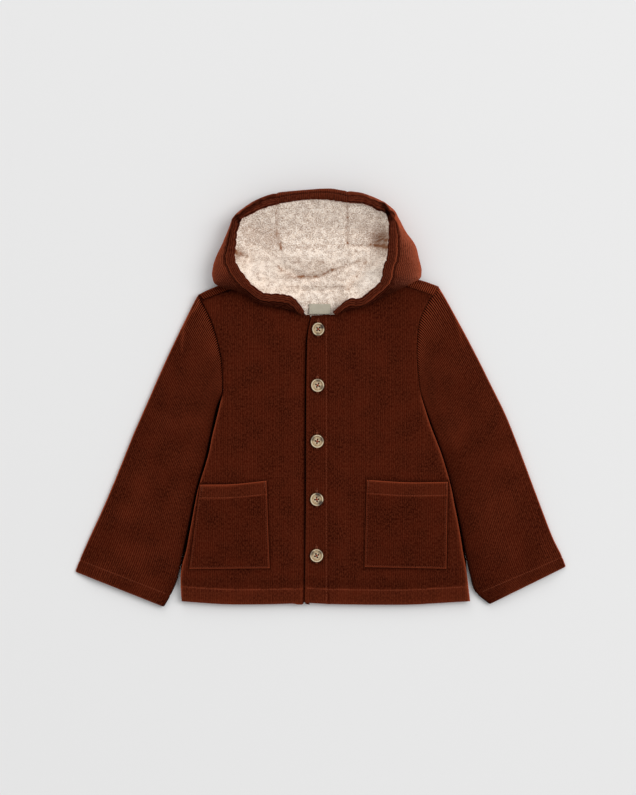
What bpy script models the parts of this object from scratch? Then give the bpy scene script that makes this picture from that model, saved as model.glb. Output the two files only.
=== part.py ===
"""A child's hooded corduroy coat with a teddy lining, buttoned up and laid flat on its back.

The coat lies in the XY plane with its front facing +Z and its hood towards +Y. "West" is the side
at -X, which is the wearer's right, and "east" is the side at +X, the wearer's left.
Tables are in millimetres; the meshes are in metres.
"""

import math

import bmesh
import bpy
import numpy as np
from mathutils.geometry import delaunay_2d_cdt

MM = 0.001

# --- driving sizes -----------------------------------------------------------------------------
GAP = 0.3  # between pieces that touch on the real coat
CORD = 2.0  # one layer of corduroy with its seam allowances
PILE = 4.7  # the teddy lining
LINED = CORD + GAP + PILE  # corduroy backed by teddy: the wall of the body and the sleeves
FACED = 3.5  # corduroy folded on itself: the button edge and the underlap
HEM_WIDTH = 20.0  # depth of the turned hem
HEM_LOSS = 3.5  # how much lower the fronts are where they are hemmed and have no teddy
EDGE_ROUND = 7.0  # how far in from an edge the cloth has rolled over
EDGE_DROP = 4.0  # how far it comes down at that edge
EDGE_DIP = 3.0  # how far the under front dips towards the button edge
DIP_RANGE = (2.0, 26.0)  # between these distances from the button edge it does so
SHOULDER_DROP = 3.0  # rounding of the fold over the shoulder
SHOULDER_REACH = 5.0  # how far in from the fold the shoulder is rounded
CROWN = 3.0  # how far the loft of the teddy lifts the middle of the front
CROWN_FADES = ((-262.0, -150.0), (60.0, 125.0))  # y between which the loft starts and ends
HEM_FADE = 16.0  # from the turned hem to the full loft
HEM_FLAT = 0.7  # share of the edge roll that the thin hem does without

BACK_TOP = LINED
FRONT_LOW = BACK_TOP + GAP
FRONT_TOP = FRONT_LOW + LINED
LAP_LOW = FRONT_LOW + FACED + GAP  # underside of the button edge, on the underlap
NECK_LINING_TOP = LINED - 0.7

# --- body outline: a row for each height, hem to underarm, then round the armhole ----------------
SIDE_SEAMS = (
    # west_x, west_y, east_x, east_y
    (-180.3, -264.0, 193.4, -264.0),
    (-181.7, -241.0, 190.6, -241.0),
    (-180.6, -222.0, 188.2, -219.0),
    (-176.3, -204.0, 185.2, -202.0),
    (-172.8, -184.0, 182.6, -185.0),
    (-168.0, -159.0, 178.0, -159.0),
    (-163.4, -134.0, 172.6, -132.0),
    (-158.9, -114.0, 168.4, -111.0),
    (-148.3, -80.0, 158.8, -78.0),
    (-141.9, -55.0, 150.0, -54.0),
    (-135.2, -28.0, 141.2, -31.0),
    (-127.0, 6.0, 130.6, 4.0),
)
ARMHOLES = (
    # west_x, west_y, east_x, east_y
    (-127.0, 6.0, 130.6, 4.0),
    (-126.6, 24.0, 127.4, 24.0),
    (-128.6, 52.0, 125.1, 50.0),
    (-134.4, 78.0, 125.3, 76.0),
    (-141.8, 101.0, 129.0, 102.0),
    (-149.0, 116.5, 137.5, 121.0),
    (-154.5, 126.5, 145.5, 134.0),
)
SHOULDER_TIPS = {"west": (-158.0, 134.5), "east": (153.5, 144.5)}
SHOULDER_MIDS = {"west": (-135.0, 145.0), "east": (129.0, 153.0)}
NECK_POINTS = {"west": (-78.0, 162.0), "east": (80.0, 164.0)}
SEAM_NECK_ENDS = {"west": (-78.0, 154.0), "east": (80.0, 155.0)}
SEAM_BEND = 1.0  # how far the shoulder seam bows up in its middle
BACK_NECK = (
    # x, y
    (-78.0, 162.0), (-57.0, 151.0), (-42.0, 145.0), (-4.0, 143.0),
    (34.0, 145.0), (57.0, 152.0), (80.0, 164.0),
)
FRONT_NECK = {
    "west": ((-20.0, 108.0), (-40.0, 112.5), (-58.0, 119.0), (-70.0, 132.0), (-77.0, 146.0), (-78.0, 154.0)),
    "east": ((15.0, 108.0), (37.0, 112.0), (56.0, 119.0), (70.0, 132.0), (78.0, 146.0), (80.0, 155.0)),
}
HEM = (
    # x, y
    (-180.3, -264.0), (-120.0, -268.0), (-50.0, -267.5), (-20.0, -266.0),
    (11.0, -267.7), (107.0, -268.5), (167.0, -265.5), (193.4, -264.0),
)
BACK_HEM_UP = 1.2  # the hem of the back lies this much higher
HEM_ENDS = {"west": -24.0, "east": -16.0}  # x where the hem of each front stops, beside the button edge
FRONT_EDGE = ((-20.2, -266.0), (-19.6, 0.0), (-17.6, 77.0), (-15.5, 96.0), (-11.5, 107.0))
UNDERLAP_EDGE = 8.0  # x where the west front ends, hidden under the east front
LAP_STEP = (0.7, 1.6)  # a layer steps down between these distances from the edge it meets
LAP_ENDS = (-265.5, 104.0)  # y of the ends of the underlap
LAP_CORNER = (-12.0, 105.0)  # where the west front steps in to its underlap at the top
CLOSURE_TOP = 108.0  # y of the top of the button edge
NECK_LINING_HALF = 72.0  # half the width of the neck lining at the top
NECK_LINING_DROP = 0.6  # from the neck edge down to the neck lining
NECK_LINING_SIDE = ((72.0, 146.0), (76.0, 132.0), (66.0, 112.0), (46.0, 98.0))
RECESS_EASE = 0.012  # the recess for the neck lining is larger by this share
RECESS_OPEN = (142.0, 8.0)  # above this y it runs on upwards by this much, through the neck edge

# spacing of the coarse nets that fill the panels
BACK_NET, FRONT_NET, LINING_NET, ROLL_NET = 60.0, 34.0, 30.0, 12.0

# --- pockets: corners from the top near the button edge, going round -------------------------------
POCKETS = {
    "west": ((-70.2, -107.3), (-66.2, -220.9), (-170.3, -221.7), (-156.0, -112.4)),
    "east": ((60.1, -106.2), (57.2, -219.2), (163.2, -221.5), (165.2, -108.8)),
}
POCKET_SAG = 2.0  # how far the mouth of a pocket dips between its corners

# --- sleeves: a row for each section from the armhole to the cuff ----------------------------------
SLEEVES = {
    "west": (
        # inner_x, inner_y, outer_x, outer_y, thick
        (-128.6, 2.0, -164.0, 125.0, 14.6),
        (-136.0, -14.0, -187.2, 78.0, 15.6),
        (-143.0, -47.0, -206.6, 36.4, 16.6),
        (-151.0, -82.0, -224.7, -5.2, 16.6),
        (-161.8, -119.0, -243.0, -46.8, 16.0),
        (-169.8, -158.0, -261.0, -91.6, 15.4),
        (-178.6, -200.0, -280.5, -138.6, 14.6),
        (-185.4, -234.0, -302.0, -185.6, 12.4),
        (-194.5, -256.0, -312.6, -210.0, 10.0),
        (-203.2, -271.5, -318.8, -225.6, 8.8),
    ),
    "east": (
        (132.2, 0.0, 161.5, 131.5, 14.6),
        (138.6, -18.0, 184.4, 90.0, 15.6),
        (150.4, -50.0, 203.8, 53.0, 16.6),
        (161.6, -82.0, 222.6, 15.0, 16.6),
        (171.4, -119.0, 241.2, -23.0, 16.0),
        (180.2, -158.0, 259.8, -70.0, 15.4),
        (187.8, -198.0, 279.8, -123.5, 14.6),
        (194.0, -228.0, 301.0, -179.0, 12.4),
        (200.8, -251.0, 313.0, -203.5, 10.0),
        (219.4, -268.0, 319.0, -219.0, 8.8),
    ),
}
SLEEVE_SLIT = 0.8  # the two layers of a sleeve lie this far apart
ARMHOLE_THICK = 14.3
ARMHOLE_GAP = 1.4 * GAP
ARMHOLE_FADE = (1.0, 0.72, 0.45, 0.24, 0.1)  # how much of the armhole's curve each next section keeps

# --- hood: a row for each section, from the west front corner over the top to the east one ---------
# A section runs from the rim out to the widest point, round and under to the root on the neck seam.
HOOD = (
    # rim_x, rim_y, out_x, out_y, top, base, root_x, root_y, root_z
    (-21.5, 111.5, -23.5, 108.3, 19.5, 14.9, -23.0, 109.6, 14.9),
    (-36.0, 129.0, -41.0, 114.5, 24.0, 15.0, -41.0, 117.5, 15.0),
    (-52.0, 133.3, -58.0, 117.8, 26.0, 15.4, -57.0, 122.0, 15.4),
    (-73.0, 134.6, -78.0, 122.5, 28.0, 15.8, -69.5, 132.0, 15.6),
    (-87.0, 143.5, -101.0, 135.6, 31.0, 16.0, -72.0, 141.0, 15.6),
    (-95.5, 152.5, -125.0, 142.8, 33.0, 15.8, -73.0, 151.0, 15.4),
    (-101.0, 160.0, -136.5, 148.0, 34.0, 15.6, -82.5, 164.2, 15.4),
    (-104.0, 163.5, -140.0, 155.5, 34.0, 0.0, -81.0, 169.0, 0.0),
    (-107.5, 169.0, -140.8, 164.0, 35.0, 0.0, -73.5, 163.5, 0.0),
    (-112.0, 180.5, -137.0, 179.0, 36.0, 0.0, -67.0, 157.7, 0.0),
    (-111.0, 196.0, -129.8, 195.0, 36.5, 0.0, -61.5, 154.6, 0.0),
    (-109.3, 214.0, -120.8, 215.0, 37.0, 0.0, -57.0, 151.8, 0.0),
    (-104.5, 230.0, -112.0, 234.5, 37.0, 0.0, -53.0, 149.8, 0.0),
    (-94.5, 237.3, -98.5, 247.0, 36.0, 0.0, -50.0, 148.5, 0.0),
    (-78.0, 245.3, -80.5, 258.0, 35.0, 0.0, -46.5, 147.0, 0.0),
    (-57.8, 252.0, -57.8, 265.6, 34.0, 0.0, -42.5, 145.5, 0.0),
    (-35.0, 256.5, -35.0, 269.0, 33.5, 0.0, -22.0, 144.2, 0.0),
    (-11.0, 258.9, -11.0, 270.9, 33.5, 0.0, -4.0, 143.6, 0.0),
    (12.0, 258.0, 12.0, 270.9, 33.5, 0.0, 14.0, 144.0, 0.0),
    (34.6, 254.8, 35.0, 268.5, 34.0, 0.0, 34.5, 145.6, 0.0),
    (56.0, 252.8, 57.5, 264.8, 35.0, 0.0, 39.5, 147.2, 0.0),
    (73.0, 245.6, 77.0, 256.8, 36.0, 0.0, 44.0, 148.6, 0.0),
    (85.5, 239.0, 94.0, 245.0, 37.0, 0.0, 48.0, 149.9, 0.0),
    (89.8, 225.0, 102.0, 231.0, 37.0, 0.0, 52.5, 151.6, 0.0),
    (89.6, 210.0, 111.0, 214.5, 37.0, 0.0, 57.5, 153.8, 0.0),
    (88.4, 195.0, 122.3, 198.5, 36.5, 0.0, 63.0, 156.6, 0.0),
    (88.0, 185.0, 127.0, 184.0, 36.0, 0.0, 69.0, 159.9, 0.0),
    (84.8, 175.5, 131.0, 169.5, 35.0, 0.0, 75.5, 164.4, 0.0),
    (82.5, 169.0, 131.0, 161.5, 34.0, 0.0, 82.0, 170.0, 0.0),
    (81.5, 162.0, 128.5, 154.8, 34.0, 15.6, 83.0, 165.2, 15.4),
    (80.0, 154.0, 117.5, 149.2, 33.0, 15.8, 73.5, 152.0, 15.4),
    (74.5, 146.0, 97.0, 139.2, 31.0, 16.0, 71.5, 142.0, 15.6),
    (64.0, 137.0, 75.0, 127.0, 28.0, 15.8, 69.5, 132.0, 15.6),
    (51.5, 127.8, 53.5, 118.4, 26.0, 15.4, 55.0, 121.5, 15.4),
    (36.5, 126.8, 34.5, 113.8, 24.0, 15.0, 35.5, 116.5, 15.0),
    (17.0, 111.0, 18.5, 108.0, 19.5, 14.9, 18.0, 109.3, 14.9),
)
WEST_SEAM, EAST_SEAM = 15, 19  # rows of HOOD where the centre strip is sewn to the sides
HOOD_ROUND = 17.0  # how far in from the widest point the cloth has turned
LINING_ROWS = (2, len(HOOD) - 3)  # the lining shows between these rows
RIM_DROP = 2.5  # the rim's edge lies this much under the top of its roll
RIM_FLAT = 6.0  # a rim narrower than this has no roll
TURN = (90, 60, 30, 0, -30, -60, -90)  # angles at which a section turns round its edge
LINING_STARTS = 4  # the lining begins this many points in from the rim
FLOOR_STEPS = 5  # points from the turn to the root

# soft folds of the hood's lining, where the hood has slumped
HOOD_MIDDLE = -10.0  # x
RIDGE = (7.0, 172.0, 9.0, 0.0012)  # height, y, half width, bend
SWELL = (4.0, 196.0, 16.0)  # height, y, half width
FLANKS = (6.0, 62.0, 20.0, 176.0)  # height, distance from the middle, half width, y
FOLD_ENDS = 60.0  # how far from the middle the ridge and the swell fade out

# --- buttons and label -----------------------------------------------------------------------------
BUTTONS = (
    # x, y, from the uppermost down
    (-3.0, 89.3), (-3.8, 16.4), (-4.3, -56.2), (-4.8, -131.6), (-5.1, -204.5),
)
BUTTON_RADIUS = 9.0
BUTTON_THICK = 3.2
BUTTON_HOLE = 0.95
BUTTON_HOLE_AT = 1.7  # holes sit at plus and minus this in x and y
BUTTON_PROFILE = (
    # radius, height, as shares of the button's
    (0.0, 0.62), (0.52, 0.62), (0.66, 0.8), (0.78, 1.0), (0.9, 1.0),
    (1.0, 0.72), (0.97, 0.4), (0.6, 0.0), (0.0, 0.0),
)
BUTTON_STEPS, HOLE_STEPS = 28, 10
LABEL_SIZE = (28.0, 13.0, 0.4)
LABEL_AT = (-1.0, 115.6)

MATERIALS = {
    # colour, roughness
    "corduroy": ((0.075, 0.012, 0.005), 0.85),
    "teddy": ((0.72, 0.60, 0.50), 0.95),
    "horn": ((0.50, 0.38, 0.22), 0.35),
    "label": ((0.62, 0.58, 0.48), 0.8),
}


# --- small tools -----------------------------------------------------------------------------------
def smooth_curve(points, count):
    """Catmull-Rom curve through the points, resampled to `count` points at even spacing."""
    p = np.array(points, float)
    p = np.vstack([2 * p[0] - p[1], p, 2 * p[-1] - p[-2]])
    t = np.linspace(0, 1, 24, endpoint=False)[:, None]
    spans = [
        0.5 * (2 * b + (c - a) * t + (2 * a - 5 * b + 4 * c - d) * t**2 + (3 * b - a - 3 * c + d) * t**3)
        for a, b, c, d in zip(p[:-3], p[1:-2], p[2:-1], p[3:])
    ]
    fine = np.vstack(spans + [p[-2:-1]])
    run = np.concatenate([[0], np.cumsum(np.linalg.norm(np.diff(fine, axis=0), axis=1))])
    at = np.linspace(0, run[-1], count)
    return np.stack([np.interp(at, run, fine[:, k]) for k in range(p.shape[1])], axis=1)


def step_up(value, low, high):
    """Smooth step: 0 below `low`, 1 above `high`."""
    t = np.clip((value - low) / (high - low), 0, 1)
    return t * t * (3 - 2 * t)


def columns(table, side):
    """The x and y columns of one side of a four-column table."""
    rows = np.array(table, float)
    return rows[:, :2] if side == "west" else rows[:, 2:]


def distance_to(points, line):
    """Distance from each point to an open or closed polyline."""
    a, b = line[:-1], line[1:]
    ab = b - a
    t = np.einsum("ijk,jk->ij", points[:, None] - a[None], ab) / np.maximum((ab**2).sum(1), 1e-9)
    nearest = a[None] + np.clip(t, 0, 1)[..., None] * ab[None]
    return np.linalg.norm(points[:, None] - nearest, axis=2).min(1)


def inside(points, outline):
    """Even-odd test of points against a closed outline."""
    x, y = points[:, 0][:, None], points[:, 1][:, None]
    a, b = outline, np.roll(outline, -1, axis=0)
    crosses = (a[:, 1] > y) != (b[:, 1] > y)
    with np.errstate(divide="ignore", invalid="ignore"):
        at = a[:, 0] + (y - a[:, 1]) * (b[:, 0] - a[:, 0]) / (b[:, 1] - a[:, 1])
    return (crosses & (x < at)).sum(1) % 2 == 1


def material(name):
    """Principled material of the coat, made once."""
    made = bpy.data.materials.get(name)
    if made is None:
        colour, roughness = MATERIALS[name]
        made = bpy.data.materials.new(name)
        made.use_nodes = True
        shader = made.node_tree.nodes["Principled BSDF"]
        shader.inputs["Base Color"].default_value = (*colour, 1)
        shader.inputs["Roughness"].default_value = roughness
        shader.inputs["Metallic"].default_value = 0
    return made


def add_object(name, mesh, finish, collection="coat"):
    """Put a mesh in the scene under its node name, with its material."""
    group = bpy.data.collections.get(collection)
    if group is None:
        group = bpy.data.collections.new(collection)
        bpy.context.scene.collection.children.link(group)
    obj = bpy.data.objects.new(name, mesh)
    group.objects.link(obj)
    mesh.materials.append(material(finish))
    return obj


def closed_mesh(name, points, faces):
    """Mesh in metres from points in millimetres, with its faces turned outwards."""
    bm = bmesh.new()
    verts = [bm.verts.new(p) for p in np.asarray(points, float) * MM]
    for face in faces:
        bm.faces.new([verts[i] for i in face])
    bmesh.ops.recalc_face_normals(bm, faces=bm.faces)
    mesh = bpy.data.meshes.new(name)
    bm.to_mesh(mesh)
    bm.free()
    return mesh


def on_outline(outline, point):
    """Insert a point into the nearest edge of a closed outline, unless it is there already."""
    point = np.asarray(point, float)
    if np.linalg.norm(outline - point, axis=1).min() < 1e-6:
        return outline
    a, b = outline, np.roll(outline, -1, axis=0)
    t = np.clip(((point - a) * (b - a)).sum(1) / np.maximum(((b - a) ** 2).sum(1), 1e-9), 0, 1)
    gap = np.linalg.norm(a + t[:, None] * (b - a) - point, axis=1)
    return np.insert(outline, gap.argmin() + 1, point, axis=0)


def plan(outline, spacing, creases=(), inlays=()):
    """Plan of a panel: its outline filled with a coarse net that keeps creases and inlaid loops.

    A crease is an open line whose ends lie on the outline. An inlay is a closed loop inside it.
    Returns the points and the triangles.
    """
    outline = np.asarray(outline, float)
    for crease in creases:
        for end in (crease[0], crease[-1]):
            outline = on_outline(outline, end)
    kept = [outline] + [np.asarray(c, float)[1:-1] for c in creases] + [np.asarray(i, float) for i in inlays]
    low, high = outline.min(0), outline.max(0)
    across, up = (max(3, round(size / spacing) + 1) for size in high - low)
    xs, ys = np.meshgrid(np.linspace(low[0], high[0], across), np.linspace(low[1], high[1], up))
    net = np.column_stack([xs.ravel(), ys.ravel()])
    net = net[inside(net, outline)]
    lines = [np.vstack([outline, outline[:1]])] + [np.asarray(c, float) for c in creases]
    lines += [np.vstack([i, i[:1]]) for i in inlays]
    for line in lines:
        net = net[distance_to(net, line) > 0.25 * spacing]
    points = np.vstack(kept + [net])

    def index(point):
        return int(np.linalg.norm(points - point, axis=1).argmin())

    count = len(outline)
    edges = [(i, (i + 1) % count) for i in range(count)]
    for crease in creases:
        edges += [(index(p), index(q)) for p, q in zip(crease[:-1], crease[1:])]
    for loop in inlays:
        edges += [(index(p), index(q)) for p, q in zip(loop, np.roll(loop, -1, axis=0))]
    made = delaunay_2d_cdt([tuple(p) for p in points], edges, [], 1, 1e-6)
    return np.array([tuple(p) for p in made[0]]), [list(f) for f in made[2]]


def part_of_plan(xy, triangles, loop):
    """The triangles of a plan that lie inside a loop, with their points renumbered."""
    middles = np.array([xy[t].mean(0) for t in triangles])
    chosen = [t for t, keep in zip(triangles, inside(middles, loop)) if keep]
    used = sorted({i for t in chosen for i in t})
    renumber = {old: new for new, old in enumerate(used)}
    return xy[used], [[renumber[i] for i in t] for t in chosen]


def panel(name, xy, triangles, lower, upper, finish):
    """A solid panel over a plan, between two height functions of x and y."""
    n = len(xy)
    top = np.column_stack([xy, upper(xy[:, 0], xy[:, 1])])
    bottom = np.column_stack([xy, lower(xy[:, 0], xy[:, 1])])
    faces = triangles + [[n + i for i in reversed(f)] for f in triangles]
    used = {(a, b) for f in triangles for a, b in zip(f, f[1:] + f[:1])}
    faces += [[b, a, n + a, n + b] for a, b in sorted(used) if (b, a) not in used]
    return add_object(name, closed_mesh(name, np.vstack([top, bottom]), faces), finish)


def level(height):
    """Height function of a flat surface."""
    return lambda x, y: np.full(np.shape(x), height)


def raised(height, by):
    """Height function of a surface moved up."""
    return lambda x, y: height(x, y) + by


def grid_faces(rows, cols, start, wrap=False):
    """Triangles of a grid of points stored row by row, joined round across the columns if wrapped."""
    faces = []
    for r in range(rows - 1):
        for c in range(cols if wrap else cols - 1):
            a, b = start + r * cols + c, start + r * cols + (c + 1) % cols
            faces += [[a, b, b + cols], [a, b + cols, a + cols]]
    return faces


def wall_between(name, outer, inner, finish, wrap=False):
    """A wall of cloth between two grids of points, closed round its edges."""
    rows, cols = outer.shape[:2]
    n = rows * cols
    faces = grid_faces(rows, cols, 0, wrap) + [f[::-1] for f in grid_faces(rows, cols, n, wrap)]
    for r in (0, rows - 1):
        for c in range(cols if wrap else cols - 1):
            a, b = r * cols + c, r * cols + (c + 1) % cols
            faces.append([a, b, n + b, n + a])
    for c in () if wrap else (0, cols - 1):
        for r in range(rows - 1):
            a, b = r * cols + c, (r + 1) * cols + c
            faces.append([a, b, n + b, n + a])
    points = np.vstack([outer.reshape(-1, 3), inner.reshape(-1, 3)])
    return add_object(name, closed_mesh(name, points, faces), finish)


# --- heights of the body's layers --------------------------------------------------------------------
def hem_line(x):
    """y of the hem at each x."""
    rows = smooth_curve(HEM, 60)
    return np.interp(x, rows[:, 0], rows[:, 1])


def side_x(y, side):
    """x of the side seam or armhole at each y."""
    rows = np.vstack([columns(SIDE_SEAMS, side), columns(ARMHOLES, side)[1:], SHOULDER_TIPS[side]])
    return np.interp(y, rows[:, 1], rows[:, 0])


def front_edge_x(y):
    """x of the button edge at each y."""
    rows = smooth_curve(FRONT_EDGE, 40)
    return np.interp(y, rows[:, 1], rows[:, 0])


def in_hem(x, y):
    """1 inside the turned hem, 0 well above it."""
    return 1 - step_up(y - hem_line(x), HEM_WIDTH, HEM_WIDTH + HEM_FADE)


def edge_roll(x, y):
    """1 at the side edges, falling to 0 once the cloth lies flat."""
    nearest = np.minimum(x - side_x(y, "west"), side_x(y, "east") - x)
    t = np.clip(nearest / EDGE_ROUND, 0, 1)
    return 1 - np.sqrt(np.maximum(0, 1 - (1 - t) ** 2))


def front_height(x, y):
    """Top of the fronts: the loft of the lining, thin at the hem and rolled down at the sides."""
    west, east = side_x(y, "west"), side_x(y, "east")
    across = np.clip((x - west) / (east - west), 0, 1)
    loft = CROWN * np.clip(4 * across * (1 - across), 0, 1) ** 0.7
    starts, ends = CROWN_FADES
    loft = loft * step_up(y, *starts) * (1 - step_up(y, *ends))
    hem = in_hem(x, y)
    return FRONT_TOP + loft - HEM_LOSS * hem - EDGE_DROP * edge_roll(x, y) * (1 - HEM_FLAT * hem)


def west_front_height(x, y):
    """The west front dips towards the button edge, and is thin where it lies under the east front."""
    from_edge = front_edge_x(y) - x
    full = front_height(x, y) - EDGE_DIP * (1 - step_up(from_edge, *DIP_RANGE))
    return np.where(from_edge > 0.5 * (LAP_STEP[0] + LAP_STEP[1]), full, LAP_LOW - GAP)


def east_front_low(x, y):
    """The east front lies on the back, and beyond the button edge on the underlap."""
    return np.where(x < UNDERLAP_EDGE + 0.5 * (LAP_STEP[0] + LAP_STEP[1]), LAP_LOW, FRONT_LOW)


# --- the body ----------------------------------------------------------------------------------------
def seam_line(side, shift=0.0, count=8):
    """Shoulder seam from the armhole to the neck, lying forward of the fold."""
    tip = columns(ARMHOLES, side)[-1]
    middle = np.add(SEAM_NECK_ENDS[side], tip) / 2 + (0, SEAM_BEND)
    return smooth_curve((tip, middle, SEAM_NECK_ENDS[side]), count) + (0, shift)


def shoulder_fold(side, count=9):
    """Where the back turns over the shoulder, from the armhole to the neck."""
    return smooth_curve((SHOULDER_TIPS[side], SHOULDER_MIDS[side], NECK_POINTS[side]), count)


def armhole(side, count=13):
    """Armhole from the underarm to the shoulder tip."""
    return smooth_curve(np.vstack([columns(ARMHOLES, side), SHOULDER_TIPS[side]]), count)


def chain(*lines):
    """Join lines end to end into one closed outline, dropping repeated points."""
    points = np.vstack([np.asarray(line, float) for line in lines])
    keep = np.ones(len(points), bool)
    keep[1:] = np.linalg.norm(np.diff(points, axis=0), axis=1) > 0.6
    points = points[keep]
    return points[:-1] if np.linalg.norm(points[0] - points[-1]) < 0.6 else points


def neck_lining_outline():
    """Outline of the teddy that shows inside the neck, below the hood."""
    top = smooth_curve(BACK_NECK, 21) - (0, NECK_LINING_DROP)
    top = top[np.abs(top[:, 0]) < NECK_LINING_HALF]
    east = np.array(NECK_LINING_SIDE)
    return chain(top, east, east[::-1] * (-1, 1))


def make_back():
    """The back panel, with the cloth that comes over each shoulder and the recess for the neck lining."""
    outline = chain(
        smooth_curve(HEM, 16) + (0, BACK_HEM_UP),
        smooth_curve(columns(SIDE_SEAMS, "east"), 18)[1:],
        armhole("east"),
        shoulder_fold("east"),
        smooth_curve(BACK_NECK, 15)[::-1],
        shoulder_fold("west")[::-1],
        armhole("west")[::-1],
        smooth_curve(columns(SIDE_SEAMS, "west"), 18)[:0:-1],
    )
    back = panel("back", *plan(outline, BACK_NET), level(0.0), level(BACK_TOP), "corduroy")
    for side in ("west", "east"):
        combine(back, make_shoulder_roll(side), "UNION")
    recess = neck_lining_outline()
    middle = recess.mean(0)
    open_from, open_by = RECESS_OPEN
    above = recess[:, 1] > open_from
    recess = middle + (recess - middle) * (1 + RECESS_EASE)
    recess[above, 1] += open_by
    cutter = panel("neck_recess", *plan(recess, BACK_NET), level(CORD), level(LINED + CORD), "teddy")
    combine(back, as_cutter(cutter), "DIFFERENCE")


def make_shoulder_roll(side):
    """Where the back comes over the shoulder to the seam on the front, full height."""
    seam, fold = seam_line(side, GAP), shoulder_fold(side)

    def height(x, y):
        near = distance_to(np.column_stack([x, y]), fold)
        return FRONT_TOP - SHOULDER_DROP * (1 - np.clip(near / SHOULDER_REACH, 0, 1)) ** 2

    net = plan(chain(seam, fold[::-1]), ROLL_NET)
    return as_cutter(panel("roll_" + side, *net, level(CORD / 4), height, "corduroy"))


def pocket_loop(side):
    """Outline of a pocket: straight sides and a mouth that sags a little."""
    corners = [np.array(c) for c in POCKETS[side]]
    top_in, top_out = corners[0], corners[-1]
    sag = (top_in + top_out) / 2 - (0, POCKET_SAG)
    edges = [smooth_curve((top_out, sag, top_in), 6)]
    for a, b in zip(corners[:-1], corners[1:]):
        edges.append(a + (b - a) * np.linspace(0, 1, 6)[:, None])
    return chain(*edges)


def step_crease(line_x, off):
    """A crease at `off` from the line x(y), from the hem up to the top of the button edge."""
    y = np.linspace(*LAP_ENDS, 13)
    x = line_x(y) + off
    return np.vstack([(x[0], hem_line(x[0])), np.column_stack([x, y])[1:-1], (x[-1], CLOSURE_TOP)])


def underlap_x(y):
    """x of the hidden edge of the underlap at each y."""
    return np.full(np.shape(y), UNDERLAP_EDGE)


def front_outline(side):
    """Outline of a front in plan: the west one runs on under the east one."""
    hem, edge = smooth_curve(HEM, 80), smooth_curve(FRONT_EDGE, 14)
    neck, arm = smooth_curve(FRONT_NECK[side], 9), smooth_curve(columns(ARMHOLES, side), 12)
    seams, seam = smooth_curve(columns(SIDE_SEAMS, side), 18), seam_line(side)
    if side == "west":
        hem = hem[hem[:, 0] < HEM_ENDS[side]][::6]
        lap = [(UNDERLAP_EDGE, y) for y in LAP_ENDS]
        return chain(hem, lap, [LAP_CORNER, neck[0]], neck, seam[::-1], arm[::-1], seams[::-1])
    hem = hem[hem[:, 0] > HEM_ENDS[side]][::6]
    return chain(FRONT_EDGE[:1], hem, seams, arm, seam, neck[::-1], edge[::-1])


def make_fronts_and_pockets():
    """Both fronts, and on each a pocket made from the front's own points, moved out."""
    fronts = (
        ("west", "front_right", "pocket_right", front_edge_x, -1, level(FRONT_LOW), west_front_height),
        ("east", "front_left", "pocket_left", underlap_x, 1, east_front_low, front_height),
    )
    for side, node, pocket, step_x, outwards, low, high in fronts:
        loop = pocket_loop(side)
        creases = [step_crease(step_x, outwards * off) for off in LAP_STEP]
        xy, triangles = plan(front_outline(side), FRONT_NET, creases, [loop])
        panel(node, xy, triangles, low, high, "corduroy")
        patch = part_of_plan(xy, triangles, loop)
        panel(pocket, *patch, raised(high, GAP), raised(high, GAP + CORD), "corduroy")


def make_neck_lining():
    """The teddy inside the back of the neck, let into the back panel."""
    shape = plan(neck_lining_outline(), LINING_NET)
    panel("neck_lining", *shape, level(CORD + GAP), level(NECK_LINING_TOP), "teddy")


# --- sleeves -------------------------------------------------------------------------------------------
def sleeve_rows(side):
    """Armhole curve of a sleeve, and its sections in plan from the armhole's chord to the cuff."""
    arm = armhole(side, 25) + (-ARMHOLE_GAP if side == "west" else ARMHOLE_GAP, 0)
    return arm, np.vstack([[*arm[0], *arm[-1], ARMHOLE_THICK], SLEEVES[side]])


def section_plan(arm, rows, index, share):
    """Plan points of one section at the shares 0 (inner edge) to 1 (outer edge)."""
    row = rows[index]
    line = row[0:2] + share[:, None] * (row[2:4] - row[0:2])
    if index >= len(ARMHOLE_FADE):
        return line
    run = np.linspace(0, 1, len(arm))
    curve = np.column_stack([np.interp(share, run, arm[:, k]) for k in range(2)])
    chord = rows[0, 0:2] + share[:, None] * (rows[0, 2:4] - rows[0, 0:2])
    return line + ARMHOLE_FADE[index] * (curve - chord)


def flattened_ring(width, height, steps=4):
    """Share across and height of points round a flattened tube, starting at the inner edge."""
    bend = height / 2
    corner = np.linspace(0, math.pi / 2, steps)
    side = np.column_stack([(1 - np.cos(corner)) * bend / width, bend * (1 + np.sin(corner))])
    flat = np.linspace(side[-1, 0], 1 - side[-1, 0], 6)[1:-1]
    far = np.column_stack([1 - side[::-1, 0], side[::-1, 1]])
    top = np.vstack([side, np.column_stack([flat, np.full(len(flat), height)]), far])
    under = np.column_stack([top[1:-1][::-1, 0], height - top[1:-1][::-1, 1]])
    return np.vstack([top, under])


def make_sleeves():
    """Each sleeve: a flattened tube of lined cloth, open at the cuff, with a slit of air inside."""
    for side, node in (("west", "sleeve_right"), ("east", "sleeve_left")):
        arm, rows = sleeve_rows(side)
        outer, inner = [], []
        for index, row in enumerate(rows):
            width, height = np.linalg.norm(row[2:4] - row[0:2]), row[4]
            share, z = flattened_ring(width, height).T
            outer.append(np.column_stack([section_plan(arm, rows, index, share), z]))
            inset = (height - SLEEVE_SLIT) / 2 / width
            share = inset + share * (1 - 2 * inset)
            z = height / 2 + (z - height / 2) * SLEEVE_SLIT / height
            inner.append(np.column_stack([section_plan(arm, rows, index, share), z]))
        wall_between(node, np.array(outer), np.array(inner), "corduroy", wrap=True)


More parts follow.
